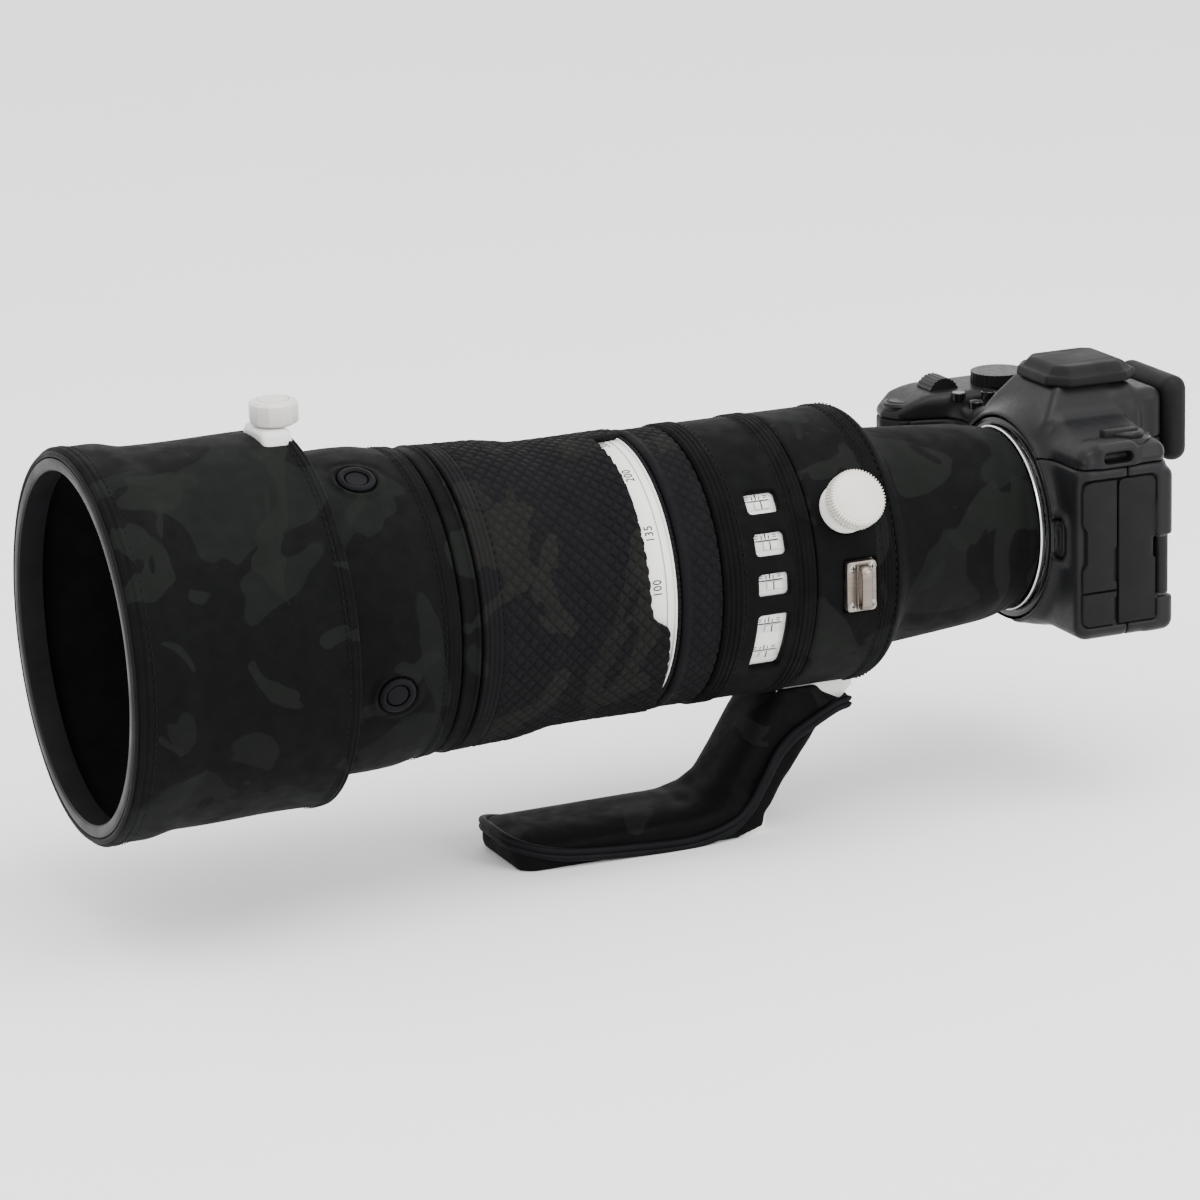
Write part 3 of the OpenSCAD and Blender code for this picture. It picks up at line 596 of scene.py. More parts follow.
WHITE = painted_metal("white_lens_paint", (0.66, 0.65, 0.62), (0.62, 0.61, 0.58))
GLOSS_WHITE = painted_metal("gloss_white_paint", (0.57, 0.565, 0.55), (0.54, 0.53, 0.515), 0.2)
PANEL = painted_metal("panel_paint", (0.55, 0.55, 0.53), (0.51, 0.51, 0.49), 0.4)
# Black print for the scale numbers and switch marks, also used as painted shade in the screw heads' cross
# slots.
PRINT_AND_SLOT_SHADE = soft_rubber("black_print_and_slot_shade", (0.02, 0.02, 0.02), (0.035, 0.035, 0.035), 0.5)
SCALE_LINE = painted_metal("scale_line", (0.22, 0.22, 0.21), (0.19, 0.19, 0.18), 0.4)
KNOB = painted_metal("knob_plastic", (0.6, 0.572, 0.515), (0.565, 0.535, 0.48), 0.42)
HOOD_KNOB = painted_metal("hood_knob_plastic", (0.56, 0.545, 0.51), (0.52, 0.505, 0.47), 0.3)
BRACKET = bare_metal("bracket_metal", (0.22, 0.19, 0.165), (0.15, 0.125, 0.108), 0.33)
STEEL = bare_metal("screw_steel", (0.38, 0.36, 0.33), (0.28, 0.26, 0.235), 0.3)
CHROME = bare_metal("polished_mount", (0.7, 0.7, 0.71), (0.6, 0.6, 0.61), 0.16)
BLACK_METAL = grain_plastic("black_anodised", (0.004, 0.004, 0.0045), (0.007, 0.007, 0.0075), 0.38, 2500,
    0.02, 0.16)
FLOCK = soft_rubber("hood_flock", (0.0018, 0.0018, 0.002), (0.0032, 0.0032, 0.0034), 0.85, 0.15, 0.05)
LIP = soft_rubber("lip_rubber", (0.0075, 0.0075, 0.0082), (0.0105, 0.0105, 0.0115), 0.42, 0.05, 0.12)
GLASS = coated_glass("front_glass")
BODY = grain_plastic("body_plastic", (0.005, 0.0051, 0.0056), (0.0072, 0.0073, 0.008), 0.4, 1500, 0.05,
    0.14)
GRIP = soft_rubber("grip_rubber", (0.0042, 0.0042, 0.0045), (0.0065, 0.0065, 0.0068), 0.6, 0.2, 0.12)
RUBBER = soft_rubber("door_rubber", (0.0042, 0.0042, 0.0045), (0.0062, 0.0062, 0.0066), 0.55, 0.05, 0.1)
GLOSS_BLACK = grain_plastic("gloss_black", (0.003, 0.003, 0.0034), (0.005, 0.005, 0.0055), 0.18, 2500, 0.01,
    0.22)
OPTICS = grain_plastic("optics_black", (0.003, 0.003, 0.003), (0.005, 0.005, 0.005), 0.5, 1500, 0.05, 0.1)

SLOT_MATERIALS = {
    "white_metal": WHITE, "coat_fabric": COAT, "black_metal": BLACK_METAL, "bright_metal": CHROME,
    "bracket_metal": BRACKET, "screw_steel": STEEL, "optical_glass": GLASS, "optics_black": OPTICS,
    "body_plastic": BODY, "grip_rubber": GRIP, "soft_rubber": RUBBER, "lip_rubber": LIP,
    "knob_plastic": KNOB, "switch_plastic": PANEL, "dial_metal": BLACK_METAL, "sensor_glass": GLASS,
    "screen_gloss": GLOSS_BLACK, "battery_case": OPTICS,
}


# ---- The coat's sleeves ----

COAT_MM = 3.0
PANEL_R = 52.4         # the bare panel
PANEL_COAT_R = 55.5    # the coat over the panel and the collar
BUTTON_R = 63          # the coat round the function buttons
CORD_HEIGHT = 1.0
REAR_LINE = [(4.5, 37), (10, 38), (20, 40.6), (30, 41.4), (50, 43), (64, 44.1), (69, 45.8), (73.5, 53),
             (76, 55.3), (78, 55.5)]
ZOOM_LINE = [(171.2, 55.5), (215, 55.5), (220, 56.6), (230, 58.2), (240, 58.5), (247, 59), (255.7, 59.4)]
FRONT_LINE = [(264.3, 59.8), (270, 60.3), (280, 62.5), (290, BUTTON_R), (309, BUTTON_R)]
HOOD_LINE = [(309, 72.4), (314, 73.3), (372, 73.3), (381, 75.6), (398, 75.4)]
KNOB_ANGLE = 29
KNOB_T = 98
BRACKET_T = 94.5
BUTTON_T = 291.5
BUTTON_ANGLES = (66.5, -17, 246.5, 163)
WINDOWS = [(36.5, 9.5), (18.8, 9.5), (1.8, 9.6), (-25.2, 28.5)]
WINDOW_T = (125, 138)
GRIP_AROUND = 60
GRIP_PITCH = 5.4
ZOOM_EDGE = [(-60, 171.4), (-57, 172.2), (-50, 173.1), (-40, 174.1), (-20, 175.3), (-12, 176),
    (-9.6, 176.9), (-8.2, 179), (-6.6, 181.4), (-4.4, 183.2), (0, 184), (30, 184.3), (60, 183.9),
    (88.4, 184.1), (88.8, 182.5), (89.2, 171.4), (300, 171.4)]


def bell(away, width):
    return np.exp(-(away / width) ** 2)


def line_at(line, t, reach=2.5):
    """A soft curve through an outline, by averaging the straight one over a few mm."""
    xs, ys = zip(*line)
    return np.mean([np.interp(t + d, xs, ys) for d in np.linspace(-reach, reach, 9)], 0)


def cords(t, low, high, count, height=CORD_HEIGHT):
    """The rounded cords of a seam band side by side."""
    place = (t - low) / (high - low) * count
    bulge = np.sqrt(np.clip(1 - (2 * (place % 1) - 1) ** 2, 0, 1))
    inside = (place > 0) & (place < count)
    return np.where(inside, height * bulge - 0.25 * height, 0)


def waves(t, a, seed, height):
    """Slow unevenness of stretched cloth."""
    draw = np.random.default_rng(seed)
    total = 0
    for _ in range(8):
        around, along, phase = draw.integers(1, 7), draw.uniform(-0.12, 0.12), draw.uniform(0, 6.3)
        total = total + np.sin(around * a + along * t + phase) / 8
    return total * height


def stations(low, high, fine=(), wide=1.3, narrow=0.36):
    """Rows along the lens, closer together in the fine stretches and at both ends."""
    marks = [low]
    while marks[-1] < high - 1e-6:
        t = marks[-1]
        close = t - low < 1.4 or high - t < 1.8 or any(a - 0.5 <= t <= b + 0.4 for a, b in fine)
        marks.append(min(t + (narrow if close else wide), high))
    return np.array(marks)


def hole_distance(t, a, holes):
    """Distance in mm, along the cloth, to the nearest hole; below 0 inside one."""
    nearest = np.full(t.shape, 99.0)
    for hole_t, hole_a, half_t, half_arc, corner, radius in holes:
        away = (a - radians(hole_a) + pi) % (2 * pi) - pi
        u, v = np.abs(t - hole_t) - half_t + corner, np.abs(away * radius) - half_arc + corner
        d = np.minimum(np.maximum(u, v), 0) + np.hypot(np.maximum(u, 0), np.maximum(v, 0)) - corner
        nearest = np.minimum(nearest, d)
    return nearest


def fit_holes(t, a, holes, around, rounds=3):
    """Moves the grid's points next to a hole onto its edge, and says which cells stay."""
    middle = hole_distance((t[:-1] + t[1:]) / 2, a[:-1] + pi / t.shape[1], holes)
    keep = middle > 0
    gone = np.pad(~keep, ((1, 1), (0, 0)))
    near_gone = gone[:-1] | gone[1:] | np.roll(gone[:-1] | gone[1:], 1, 1)
    kept = np.pad(keep, ((1, 1), (0, 0)))
    near_kept = kept[:-1] | kept[1:] | np.roll(kept[:-1] | kept[1:], 1, 1)
    edge = near_gone & near_kept
    for _ in range(rounds):
        d = hole_distance(t, a, holes)
        by_t = (hole_distance(t + 0.05, a, holes) - hole_distance(t - 0.05, a, holes)) / 0.1
        nudge = 0.05 / around
        by_a = (hole_distance(t, a + nudge, holes) - hole_distance(t, a - nudge, holes)) / 0.1
        size = np.maximum(by_t ** 2 + by_a ** 2, 0.2)
        t = t - np.where(edge, d * by_t / size, 0)
        a = a - np.where(edge, d * by_a / size, 0) / around
    return t, a, keep


def sleeve(name, node, body, rows, radius, material, start=None, holes=(), steps=448, thickness=COAT_MM,
           edge_drop=0.9):
    """A closed cloth tube over the given rows. start(angle) moves its first edge."""
    angles = turn_steps(steps)
    t, a = np.meshgrid(rows, angles, indexing="ij")
    if start is not None:
        shift = start(angles)[None] - rows[0]
        t = t + shift * np.clip(1 - (t - rows[0]) / 28, 0, 1)
    keep = np.ones((len(rows) - 1, steps), bool)
    around = float(np.mean(radius(t, a)))
    if len(holes):
        t, a, keep = fit_holes(t, a, holes, around)
    r = radius(t, a)
    edge = np.minimum(t - t[:1], t[-1:] - t)
    if len(holes):
        edge = np.minimum(edge, np.maximum(hole_distance(t, a, holes), 0))
    outer = r - edge_drop * (1 - np.clip(edge / 1.2, 0, 1)) ** 2
    inner = np.minimum(outer - 0.5, r - thickness + 0.05)
    points, faces = closed_shell(lens_point(t, outer, a), lens_point(t, inner, a), keep)
    piece = make_object(name, points, faces, material, body, node)
    return piece


def stitch_rows(name, body, rings, holes=()):
    """Rows of sewing stitches round the lens. rings are (distance in front of the flange, radius)."""
    parts = []
    for t, r in rings:
        count = int(2 * pi * r / 3.4)
        for k in range(count):
            a = 2 * pi * (k + 0.5 * (t % 2 > 1)) / count
            if hole_distance(np.array([[t]]), np.array([[a]]), holes)[0, 0] < 0.6:
                continue
            spread = np.linspace(-1.1, 1.1, 4) / r
            lift = np.array([-0.3, 0.12, 0.12, -0.3])
            path = lens_point(np.full(4, t), r + lift, a + spread)
            points, faces = tube_mesh(path / MM, 0.26, (0, 1, 0), 5)
            parts.append((points * MM, faces))
    return make_object(name, *merge(parts), THREAD, body)


def grip_diamonds(t, a):
    """Raised diamonds of the grip cloth, from 0 to 1, with narrow grooves between them."""
    around = a * GRIP_AROUND / (2 * pi)
    u, v = around + t / GRIP_PITCH, around - t / GRIP_PITCH
    groove = np.minimum(np.abs((u + 0.5) % 1 - 0.5), np.abs((v + 0.5) % 1 - 0.5)) * 2
    return 1 - np.exp(-(groove / 0.22) ** 1.4)


def plain(line, seed, bands=(), wave=0.25):
    def radius(t, a):
        r = line_at(line, t) + waves(t, a, seed, wave)
        for low, high, count in bands:
            r = r + cords(t, low, high, count)
        return r
    return radius


def band_stretches(bands):
    return [(low, high) for low, high, _ in bands]


def add_sleeves():
    rear = plain(REAR_LINE, 1, wave=0.5)

    def rear_radius(t, a):
        folds = bell(t - 12, 7) * 0.35 * np.sin(5 * a + 0.45 * t) + 0.3 * bell(t - 7, 1.6)
        return rear(t, a) + folds
    sleeve("rear_sleeve", "rear_cover", "lens", stations(4.5, 78.0, [(4.5, 14), (66, 78)], narrow=0.7),
           rear_radius, COAT)

    knob_holes = [(KNOB_T, KNOB_ANGLE, 9.6, 9.6, 9.5, PANEL_COAT_R)]
    bracket_holes = [(BRACKET_T, degrees, 7.0, 10.8, 1.2, PANEL_COAT_R) for degrees in (-3.4, 183.4)]
    leg_hole = [(95, 270, 30, 15.6, 2, PANEL_COAT_R)]
    collar_bands = [(78.4, 84.2, 4)]
    collar_line = [(78, 55.0), (84, 55.6), (113, PANEL_COAT_R)]
    sleeve("collar_sleeve", "collar_cover", "collar",
        stations(78.2, 112.8, band_stretches(collar_bands) + [(86, 109)], narrow=0.5),
        plain(collar_line, 2, collar_bands, 0.15), COAT, holes=knob_holes + bracket_holes + leg_hole,
        steps=640)

    panel_bands = [(113.4, 121.4, 4), (144.4, 152.7, 4)]
    windows = [((WINDOW_T[0] + WINDOW_T[1]) / 2, angle, (WINDOW_T[1] - WINDOW_T[0]) / 2,
                radians(width / 2) * 55.4, 1.8, 55.4) for angle, width in WINDOWS]
    sleeve("switch_sleeve", "switch_cover", "lens",
        stations(113.1, 152.9, band_stretches(panel_bands) + [(123, 140)], narrow=0.42),
        plain([(113, PANEL_COAT_R), (153, PANEL_COAT_R)], 3, panel_bands, 0.1), PANEL_COAT, holes=windows,
        steps=800, thickness=COAT_MM - 0.1)

    def focus_radius(t, a):
        hem = 0.7 / (1 + np.exp(-(t - 167.4) * 3))
        grip = 0.75 * grip_diamonds(t, a) / (1 + np.exp((t - 166.8) * 3))
        return 54.7 + hem + grip + waves(t, a, 4, 0.2) + 0.5 * bell(t - 168.4, 1.8)
    sleeve("focus_sleeve", "focus_cover", "focus", stations(153.6, 170.5, [(153, 171)], narrow=0.55),
           focus_radius, GRIP_COAT, steps=720, edge_drop=0.8)

    zoom_bands = [(247.4, 255.4, 4)]

    def zoom_start(angles):
        degrees = (np.degrees(angles) + 60) % 360 - 60
        ragged = 0.14 * np.sin(degrees * 1.15)
        open_part = (degrees > -5) & (degrees < 88)
        return np.interp(degrees, *zip(*ZOOM_EDGE)) + np.where(open_part, ragged, 0)

    def zoom_radius(t, a):
        base = line_at(ZOOM_LINE, t) + waves(t, a, 7, 0.5) + cords(t, *zoom_bands[0])
        return base + 0.95 * grip_diamonds(t, a) * np.clip((246.8 - t) / 1.5, 0, 1)
    sleeve("zoom_sleeve", "zoom_cover", "zoom", stations(171.4, 255.5, [(247, 255.5)], wide=0.68),
           zoom_radius, GRIP_COAT, start=zoom_start, steps=780, thickness=2.1)

    control = plain([(256, 59.5), (264, 59.7)], 8, [(256.4, 258.6, 1)], 0.2)
    sleeve("control_sleeve", "control_cover", "control", stations(256.35, 263.65, [(256, 264)]), control,
        COAT)

    front_bands = [(264.7, 270.3, 3)]
    button_holes = [(BUTTON_T, angle, 7.6, 7.6, 7.5, BUTTON_R) for angle in BUTTON_ANGLES]
    front = plain(FRONT_LINE, 5, front_bands, 0.5)

    def front_radius(t, a):
        away = hole_distance(t, a, button_holes)
        return front(t, a) + 0.55 * bell(away - 1.6, 1.1) - 0.5 * bell(away - 4.2, 1.6)
    sleeve("front_sleeve", "front_barrel_cover", "lens",
           stations(264.45, 309.0, band_stretches(front_bands) + [(282, 301)], narrow=0.6),
           front_radius, COAT, holes=button_holes, steps=640)

    hood_bands = [(310.2, 314, 2), (392.6, 397.4, 2)]
    block_hole = [(318.6, 90, 4.9, 13.9, 2.2, 73.3)]
    sleeve("hood_sleeve", "hood_cover", "hood",
           stations(309.9, 397.9, band_stretches(hood_bands) + [(314, 325)], wide=1.5, narrow=0.5),
           plain(HOOD_LINE, 6, hood_bands, 1.1), COAT, holes=block_hole, steps=560, thickness=2.6)

    stitch_rows("collar_stitches", "collar", [(84.9, 55.75), (78.8, 55.9)],
                knob_holes + bracket_holes + leg_hole)
    stitch_rows("switch_stitches", "lens", [(122.2, 55.6), (143.7, 55.6)])
    stitch_rows("zoom_stitches", "zoom", [(246.8, 59.3)])
    stitch_rows("front_stitches", "lens", [(271.2, 61.0)], button_holes)
    stitch_rows("hood_stitches", "hood", [(315, 73.5), (391.6, 75.8)], block_hole)


# ---- Hood, lens rings, scale and switches ----

def add_hood():
    on_lens("hood_tube", "hood",
            [(310, 61.4), (310, 70.1), (372, 70.1), (380, 72.6), (397, 72.6), (397, 70.9), (380.5, 70.8),
             (372.5, 68.3), (312.5, 68.3), (312.5, 66), (323, 63.5), (323, 61.4)], FLOCK, "hood_shell")
    lip = [(389.2, 67.7), (389.2, 70.7), (397.2, 70.7), (397.4, 72), (399, 72.2)]
    lip += [(399.3 + 0.2 * sin(a), 70.4 + 1.2 * cos(a)) for a in np.linspace(0.6, 1.5, 4)]
    lip += [(399.5, 69), (399.3, 68.2), (398.6, 67.6), (396, 67.5)]
    on_lens("hood_front_lip", "hood", lip, LIP, "hood_lip")
    ring = [(398.3 + 1.0 * sin(a), 73.6 + 1.15 * cos(a)) for a in np.linspace(0, 2 * pi, 14)[:-1]]
    on_lens("hood_edge_piping", "hood", ring, PIPING)

    def clamp_field(x, t, y):
        flat = polygon_field(x, y,
            [(-8.8, 76.6), (8.8, 76.6), (10.8, 74.9), (13.4, 70.8), (13.6, 67), (-13.6, 67), (-13.4, 70.8),
            (-10.8, 74.9)])
        shape = prism(flat, t - 317.4, 6.1, 1.7)
        shape = cut(shape, np.hypot(x, y) - 63.4, 0.6)
        return cut(shape, np.hypot(x, t - 314.5) - 3.2, 0.4)
    sculpt("hood_clamp_block", "hood", lambda x, y, z: clamp_field(x, -y, z), (-16, -326, 63),
        (16, -309, 78.4), 0.5, GLOSS_WHITE)
    point = Vector((0, FLANGE_Y - 314.5 * MM, AXIS_Z + 77.1 * MM))
    face = [(0, 9.6), (5.8, 9.6), (5.9, 9.1), (6.2, 9.1), (6.35, 9.5), (7.6, 9.4), (8.6, 9), (9.4, 8),
            (9.35, 1.4), (8.9, 0.6), (7.6, 0.2), (7.4, -0.3), (3, -0.4), (3, -8), (0, -8)][::-1]

    def facets(a, r, h):
        flat = cos(pi / 12) / np.cos(a % (pi / 6) - pi / 12)
        return np.where((r > 7.8) & (h > 0.1), r * (flat - 1) + 0.25, 0)
    turned("hood_knob_cap", "hood_screw", point, (0, 0, 1), face, HOOD_KNOB, 192, facets, "hood_knob", 30)


def add_collar_knob():
    point, outwards = radial_place(KNOB_T, 54.2, KNOB_ANGLE)
    profile = [(0, 17.2), (9.3, 17.2), (9.6, 17), (9.8, 16.7), (10.4, 16.6), (11.1, 16.1), (11.2, 13.4),
        (10.85, 13), (11.2, 12.6), (11.2, 10), (10.8, 9.5), (9.2, 9.3), (8.6, 8.9), (8.2, 6.3), (4, 6.1),
        (4, -5), (0, -5)][::-1]

    def knurl(a, r, h):
        upper = 0.5 * np.sin(56 * a) * (h > 13.2) * (h < 16.3)
        lower = 0.5 * np.sin(56 * a + pi * 0.9) * (h > 9.7) * (h < 12.9)
        return np.where(r > 10.9, upper + lower, 0)
    turned("collar_knob_cap", "lock_knob", point, outwards, profile, KNOB, 448, knurl, "collar_knob", 40)
    boss = [(8.9, -1), (8.9, 0.6), (10.2, 1.1), (10.3, 2), (10, 2.9), (9.5, 3.8), (9.2, 5), (8.9, 9),
            (8.4, 9.25), (4.2, 9.25), (4.2, -1)]
    turned("collar_knob_boss", "collar", point, outwards, boss, WHITE, 96)


def add_lens_rings():
    teeth = 300
    on_lens("scale_knurl", "zoom",
        [(171.1, 52.4), (171.1, 54.2), (171.3, 54.5), (172.3, 54.5), (172.5, 54.2), (172.5, 52.4)], PIPING,
        steps=teeth * 4, shape=lambda a, r, h: 0.28 * np.sin(teeth * a / 2) * (r > 54.3))
    on_lens("scale_line", "zoom", [(176.4, 53.2), (176.4, 53.4), (176.8, 53.4), (176.8, 53.2)], SCALE_LINE)
    on_lens("scale_rim", "zoom",
        [(172.5, 52.6), (172.5, 53.9), (172.8, 54.15), (173.3, 54.15), (173.6, 53.4), (173.6, 52.6)], WHITE)
    on_lens("control_gap_liner", "control", [(254.6, 56.4), (254.6, 57.5), (257.4, 57.5), (257.4, 56.4)],
        PIPING)
    on_lens("mount_bright_ring", "lens", [(2.3, 34.5), (2.3, 37.6), (2.7, 38), (3.9, 38.1), (4.35, 37.7),
                                          (4.35, 34.5)], CHROME)
    on_lens("mount_gloss_ring", "camera", [(-3.5, 36.9), (-3.5, 42.2), (0.2, 41.9), (1.5, 41), (2, 39.8),
                                           (2, 39), (1.4, 37.2)], GLOSS_BLACK)
    glass_profile = [(0, 15.0)]
    for r in np.linspace(4, 54, 14):
        glass_profile.append((r, 15.0 - (160 - sqrt(160 ** 2 - r ** 2))))
    glass_profile += [(54.3, 4), (54.3, 1), (0, 1)]
    turned("front_element", "lens", (0, FLANGE_Y - 301 * MM, AXIS_Z), (0, -1, 0), glass_profile[::-1],
        GLASS, 160, node="front_lens")
    ring = [(316.6, 61), (323.4, 61), (323.4, 56), (317.6, 56), (317.2, 54.4), (314, 54.2), (311, 52.4),
            (310.4, 52.6), (310.4, 61)]
    on_lens("front_retaining_ring", "lens", [(t + 0.05 if t < 320 else t, r) for t, r in ring], OPTICS)


def wrapped(t_mid, degrees, radius):
    """Places (distance towards the front, distance along the arc, height) round a spot on a ring."""
    def place(u, v, h):
        a = radians(degrees) + v / radius
        r = (radius + h) * MM
        return (r * cos(a), FLANGE_Y - (t_mid + u) * MM, AXIS_Z + r * sin(a))
    return place


def add_scale_numbers():
    """Zoom positions round the white ring, read upwards with their tops to the front."""
    for number, degrees in (("100", 7), ("135", 30), ("200", 59), ("300", 85.5)):
        curve = bpy.data.curves.new("number", "FONT")
        curve.body = number
        curve.size = 5.0
        curve.align_x = "CENTER"
        curve.align_y = "CENTER"
        curve.extrude = 0.03
        curve.offset = 0.05
        curve.space_character = 1.12
        holder = bpy.data.objects.new("number", curve)
        mesh = bpy.data.meshes.new_from_object(holder)
        bpy.data.objects.remove(holder)
        place = wrapped(180.2, degrees, 53.3)
        points = [place(v.co.y, v.co.x * 0.82, v.co.z + 0.03) for v in mesh.vertices]
        faces = [list(p.vertices) for p in mesh.polygons]
        piece = make_object("scale_number_" + number, points, faces, PRINT_AND_SLOT_SHADE, "zoom")
        bpy.data.meshes.remove(mesh)
        sharpen(piece, 30)


def bar(u0, u1, v0, v1, height=0.1):
    return [(u0, v0), (u1, v0), (u1, v1), (u0, v1)], -0.1, height, 0.04


SWITCHES = [("focus_mode_switch", 36.5), ("focus_limit_switch", 18.8), ("preset_switch", 1.8),
            ("stabiliser_switch", -18.0), ("stabiliser_mode_switch", -32.5)]


def add_switches():
    for name, degrees in SWITCHES:
        place = wrapped(131.5, degrees, PANEL_R)
        marks = [bar(-4.6, 6.2, 1.4, 1.8), bar(-5.1, -4.85, -2.9, 1.2), bar(-4.95, -4.6, 1.2, 1.5)]
        marks += [bar(0.55, 1.05, 2.1, 4.3), bar(2.15, 2.6, 2.1, 3.6), bar(-0.95, -0.5, 2.1, 3.4)]
        marks += [bar(3.9, 5.5, 2.5, 2.8), bar(3.9, 5.5, 3.4, 3.7), bar(-4.0, -2.4, 2.6, 2.9),
            bar(-4.0, -2.4, 3.4, 3.7)]
        plates(name + "_marks", "lens", marks, place, PRINT_AND_SLOT_SHADE)
        knob_place = wrapped(129.5, degrees, PANEL_R)
        body = name + "_slider"
        belt = [(u0, u0 + 1.0) for u0 in np.arange(-6.0, 10.0, 1.0)]
        strips = [([(u0, -2.5), (u1, -2.5), (u1, 1.25), (u0, 1.25)], -0.02, 0.1, 0.02) for u0, u1 in belt]
        block = (rounded(-2.0, 4.3, -2.2, 1.05, 0.5), -0.1, 0.75, 0.3)
        plates(name + "_thumb", body, strips + [block], knob_place, PANEL, name)
        plates(name + "_index", body, [bar(1.2, 1.75, -2.1, 1.0, 0.83)], knob_place, PRINT_AND_SLOT_SHADE)


def add_function_buttons():
    for name, degrees in zip(("upper_right", "lower_right", "lower_left", "upper_left"), BUTTON_ANGLES):
        point, outwards = radial_place(BUTTON_T, BUTTON_R, degrees)
        bezel = [(3, -3), (3, -1.9), (4.7, -1.9), (4.8, 0.2), (5.3, 0.7), (6.1, 0.9), (6.8, 0.6),
            (7.3, 0.15), (7.4, -0.8), (7.4, -3)]
        turned("button_ring_" + name, "lens", point, outwards, bezel, PIPING, 96)
        cap = [(0, -2.8), (2.8, -2.8), (2.8, -0.9), (4.2, -0.8), (4.3, -0.2), (4, 0.1), (2.6, 0),
            (0, -0.08)]
        turned("button_cap_" + name, "function_button_" + name + "_key", point, outwards, cap, PIPING, 72,
               node="function_button_" + name)


def add_strap_brackets():
    """A metal plate on each side of the collar, with four cross-head screws and an upright bar."""
    for side in (1, -1):
        def place(u, v, h, side=side):
            return (side * h * MM, FLANGE_Y - (BRACKET_T + u) * MM, AXIS_Z + v * MM)
        plate = rounded(-6.4, 6.4, -13.4, 6.9, 1.5)
        layers = [(plate, 51.5, 56.8, 0.5)]
        layers += [(rounded(-2.7, -1.7, -12.2, 5.7, 0.4), 56.7, 58.3, 0.3),
                   (rounded(1.7, 2.7, -12.2, 5.7, 0.4), 56.7, 58.3, 0.3)]
        name = "right" if side > 0 else "left"
        plates("bracket_plate_" + name, "collar", layers, place, BRACKET, "strap_brackets")
        loop = [(57, -11.4), (59.6, -11.2), (60.9, -10.2), (61.2, -8.4), (61.2, 2), (60.9, 3.8),
            (59.6, 4.8), (57, 5)]
        path = np.array([place(0, v, h) for h, v in smooth_path([(h, v, 0) for h, v in loop], 0.8)[:, :2]])
        points, faces = tube_mesh(path / MM, 0.95, (0, 1, 0), 16)
        spread = points[:, 1] - (FLANGE_Y / MM - BRACKET_T)
        points[:, 1] += np.sign(spread) * np.minimum(np.abs(spread) * 3, 1.3)
        sharpen(make_object("bracket_bar_" + name, points * MM, faces, BRACKET, "collar"), 40)
        for u in (-4.2, 4.2):
            for v in (-11.0, 4.5):
                centre = Vector(place(u, v, 56.8))
                head = [(0, -1), (2, -1), (2, 0.25), (1.75, 0.3), (1.7, 0.1), (1.6, 0.1), (1.55, 0.5),
                        (1.2, 0.85), (0, 1)]
                label = name + ("_front" if u > 0 else "_rear") + ("_low" if v < 0 else "_high")
                turned("bracket_screw_" + label, "collar", centre, (side, 0, 0), head, STEEL, 40,
                       node="mounting_screws")
                # Each screw's cross recess is drawn as black bars laid on the head: painted shade for the
                # dark inside of the slots.
                cross = [bar(u - 0.95, u + 0.95, v - 0.2, v + 0.2),
                    bar(u - 0.2, u + 0.2, v - 0.95, v + 0.95)]
                slot_shade_plates = [(outline, 57.0, 57.88, 0.02) for outline, *_ in cross]
                plates("bracket_cross_shade_" + label, "collar", slot_shade_plates, place, PRINT_AND_SLOT_SHADE)


# ---- Foot ----

FOOT_OUTLINE = [(112.9, -50), (115, -55.5), (122.5, -66), (131, -79.5), (138, -89.6), (143.5, -94.2),
    (151, -96.6), (222, -97), (228.6, -98.6), (230.2, -102), (229.6, -107.6), (227.4, -110.95),
    (150, -110.95), (134, -110.9), (123, -107.4), (117, -102), (106, -90), (94, -73.6), (86, -66.6),
    (78.6, -63.4), (77.8, -61.4), (84, -59.2), (91, -55.6), (96, -50)]
FOOT_PIPING = [(80.2, -62.2, 17.2), (88, -63.2, 18.8), (100.4, -69.1, 19.2), (108, -73.2, 19.6),
    (114.5, -79.2, 20.2), (120.7, -88.4, 21.2), (128.3, -98.4, 22.8), (138, -105.2, 23.8),
    (155.7, -108.9, 24), (180, -108, 24), (200, -106.4, 24), (213, -104.6, 23.8), (222, -102.4, 21.8),
    (227.6, -100.6, 17.6), (230.4, -99.4, 11.5), (231.2, -98.8, 4)]


def add_foot():
    def field(x, y, z):
        t = -y
        wide = np.clip((z + 90) / -12, 0, 1)
        half = 18.3 + 4.9 * wide * wide * (3 - 2 * wide)
        crown = 4.4 * np.clip(np.abs(x) / half, 0, 1.1) ** 4 * np.clip((z + 107) / 5, 0, 1)
        side = prism(polygon_field(t, z, FOOT_OUTLINE) + crown, x, half, 1.8)
        plan_x, plan_t = np.abs(x) - 23.2 + 12, np.maximum(t - 230.2 + 12, 0)
        tip = np.hypot(np.maximum(plan_x, 0), plan_t) - 12
        shape = common(side, tip, 1.5)
        crease = 0.35 * bell(z + 94 + 0.4 * (t - 140), 2.5) * np.sin(0.3 * x + 0.2 * t)
        return cut(shape, np.hypot(x, z) - 55.9, 0.5) + crease
    sculpt("foot_sleeve", "collar", field, (-26, -232, -111.4), (26, -77, -48), 0.8, COAT, "foot_cover")
    origin = np.array(camera_point(0, 0, 0))
    tapes = []
    for lift in (1.25, -1.25):
        near = [(x, -t, z + lift) for t, z, x in FOOT_PIPING]
        far = [(-x, y, z) for x, y, z in near][::-1]
        path = smooth_path(near + far, 1.4)
        tapes.append(tube_mesh(path, 1.55, (0.2, 0.3, 1), 12))
    points, faces = merge(tapes)
    sharpen(make_object("foot_piping", origin + points * MM, faces, PIPING, "collar"), 50)


# ---- Camera body ----

SHUTTER_TILT = radians(24)


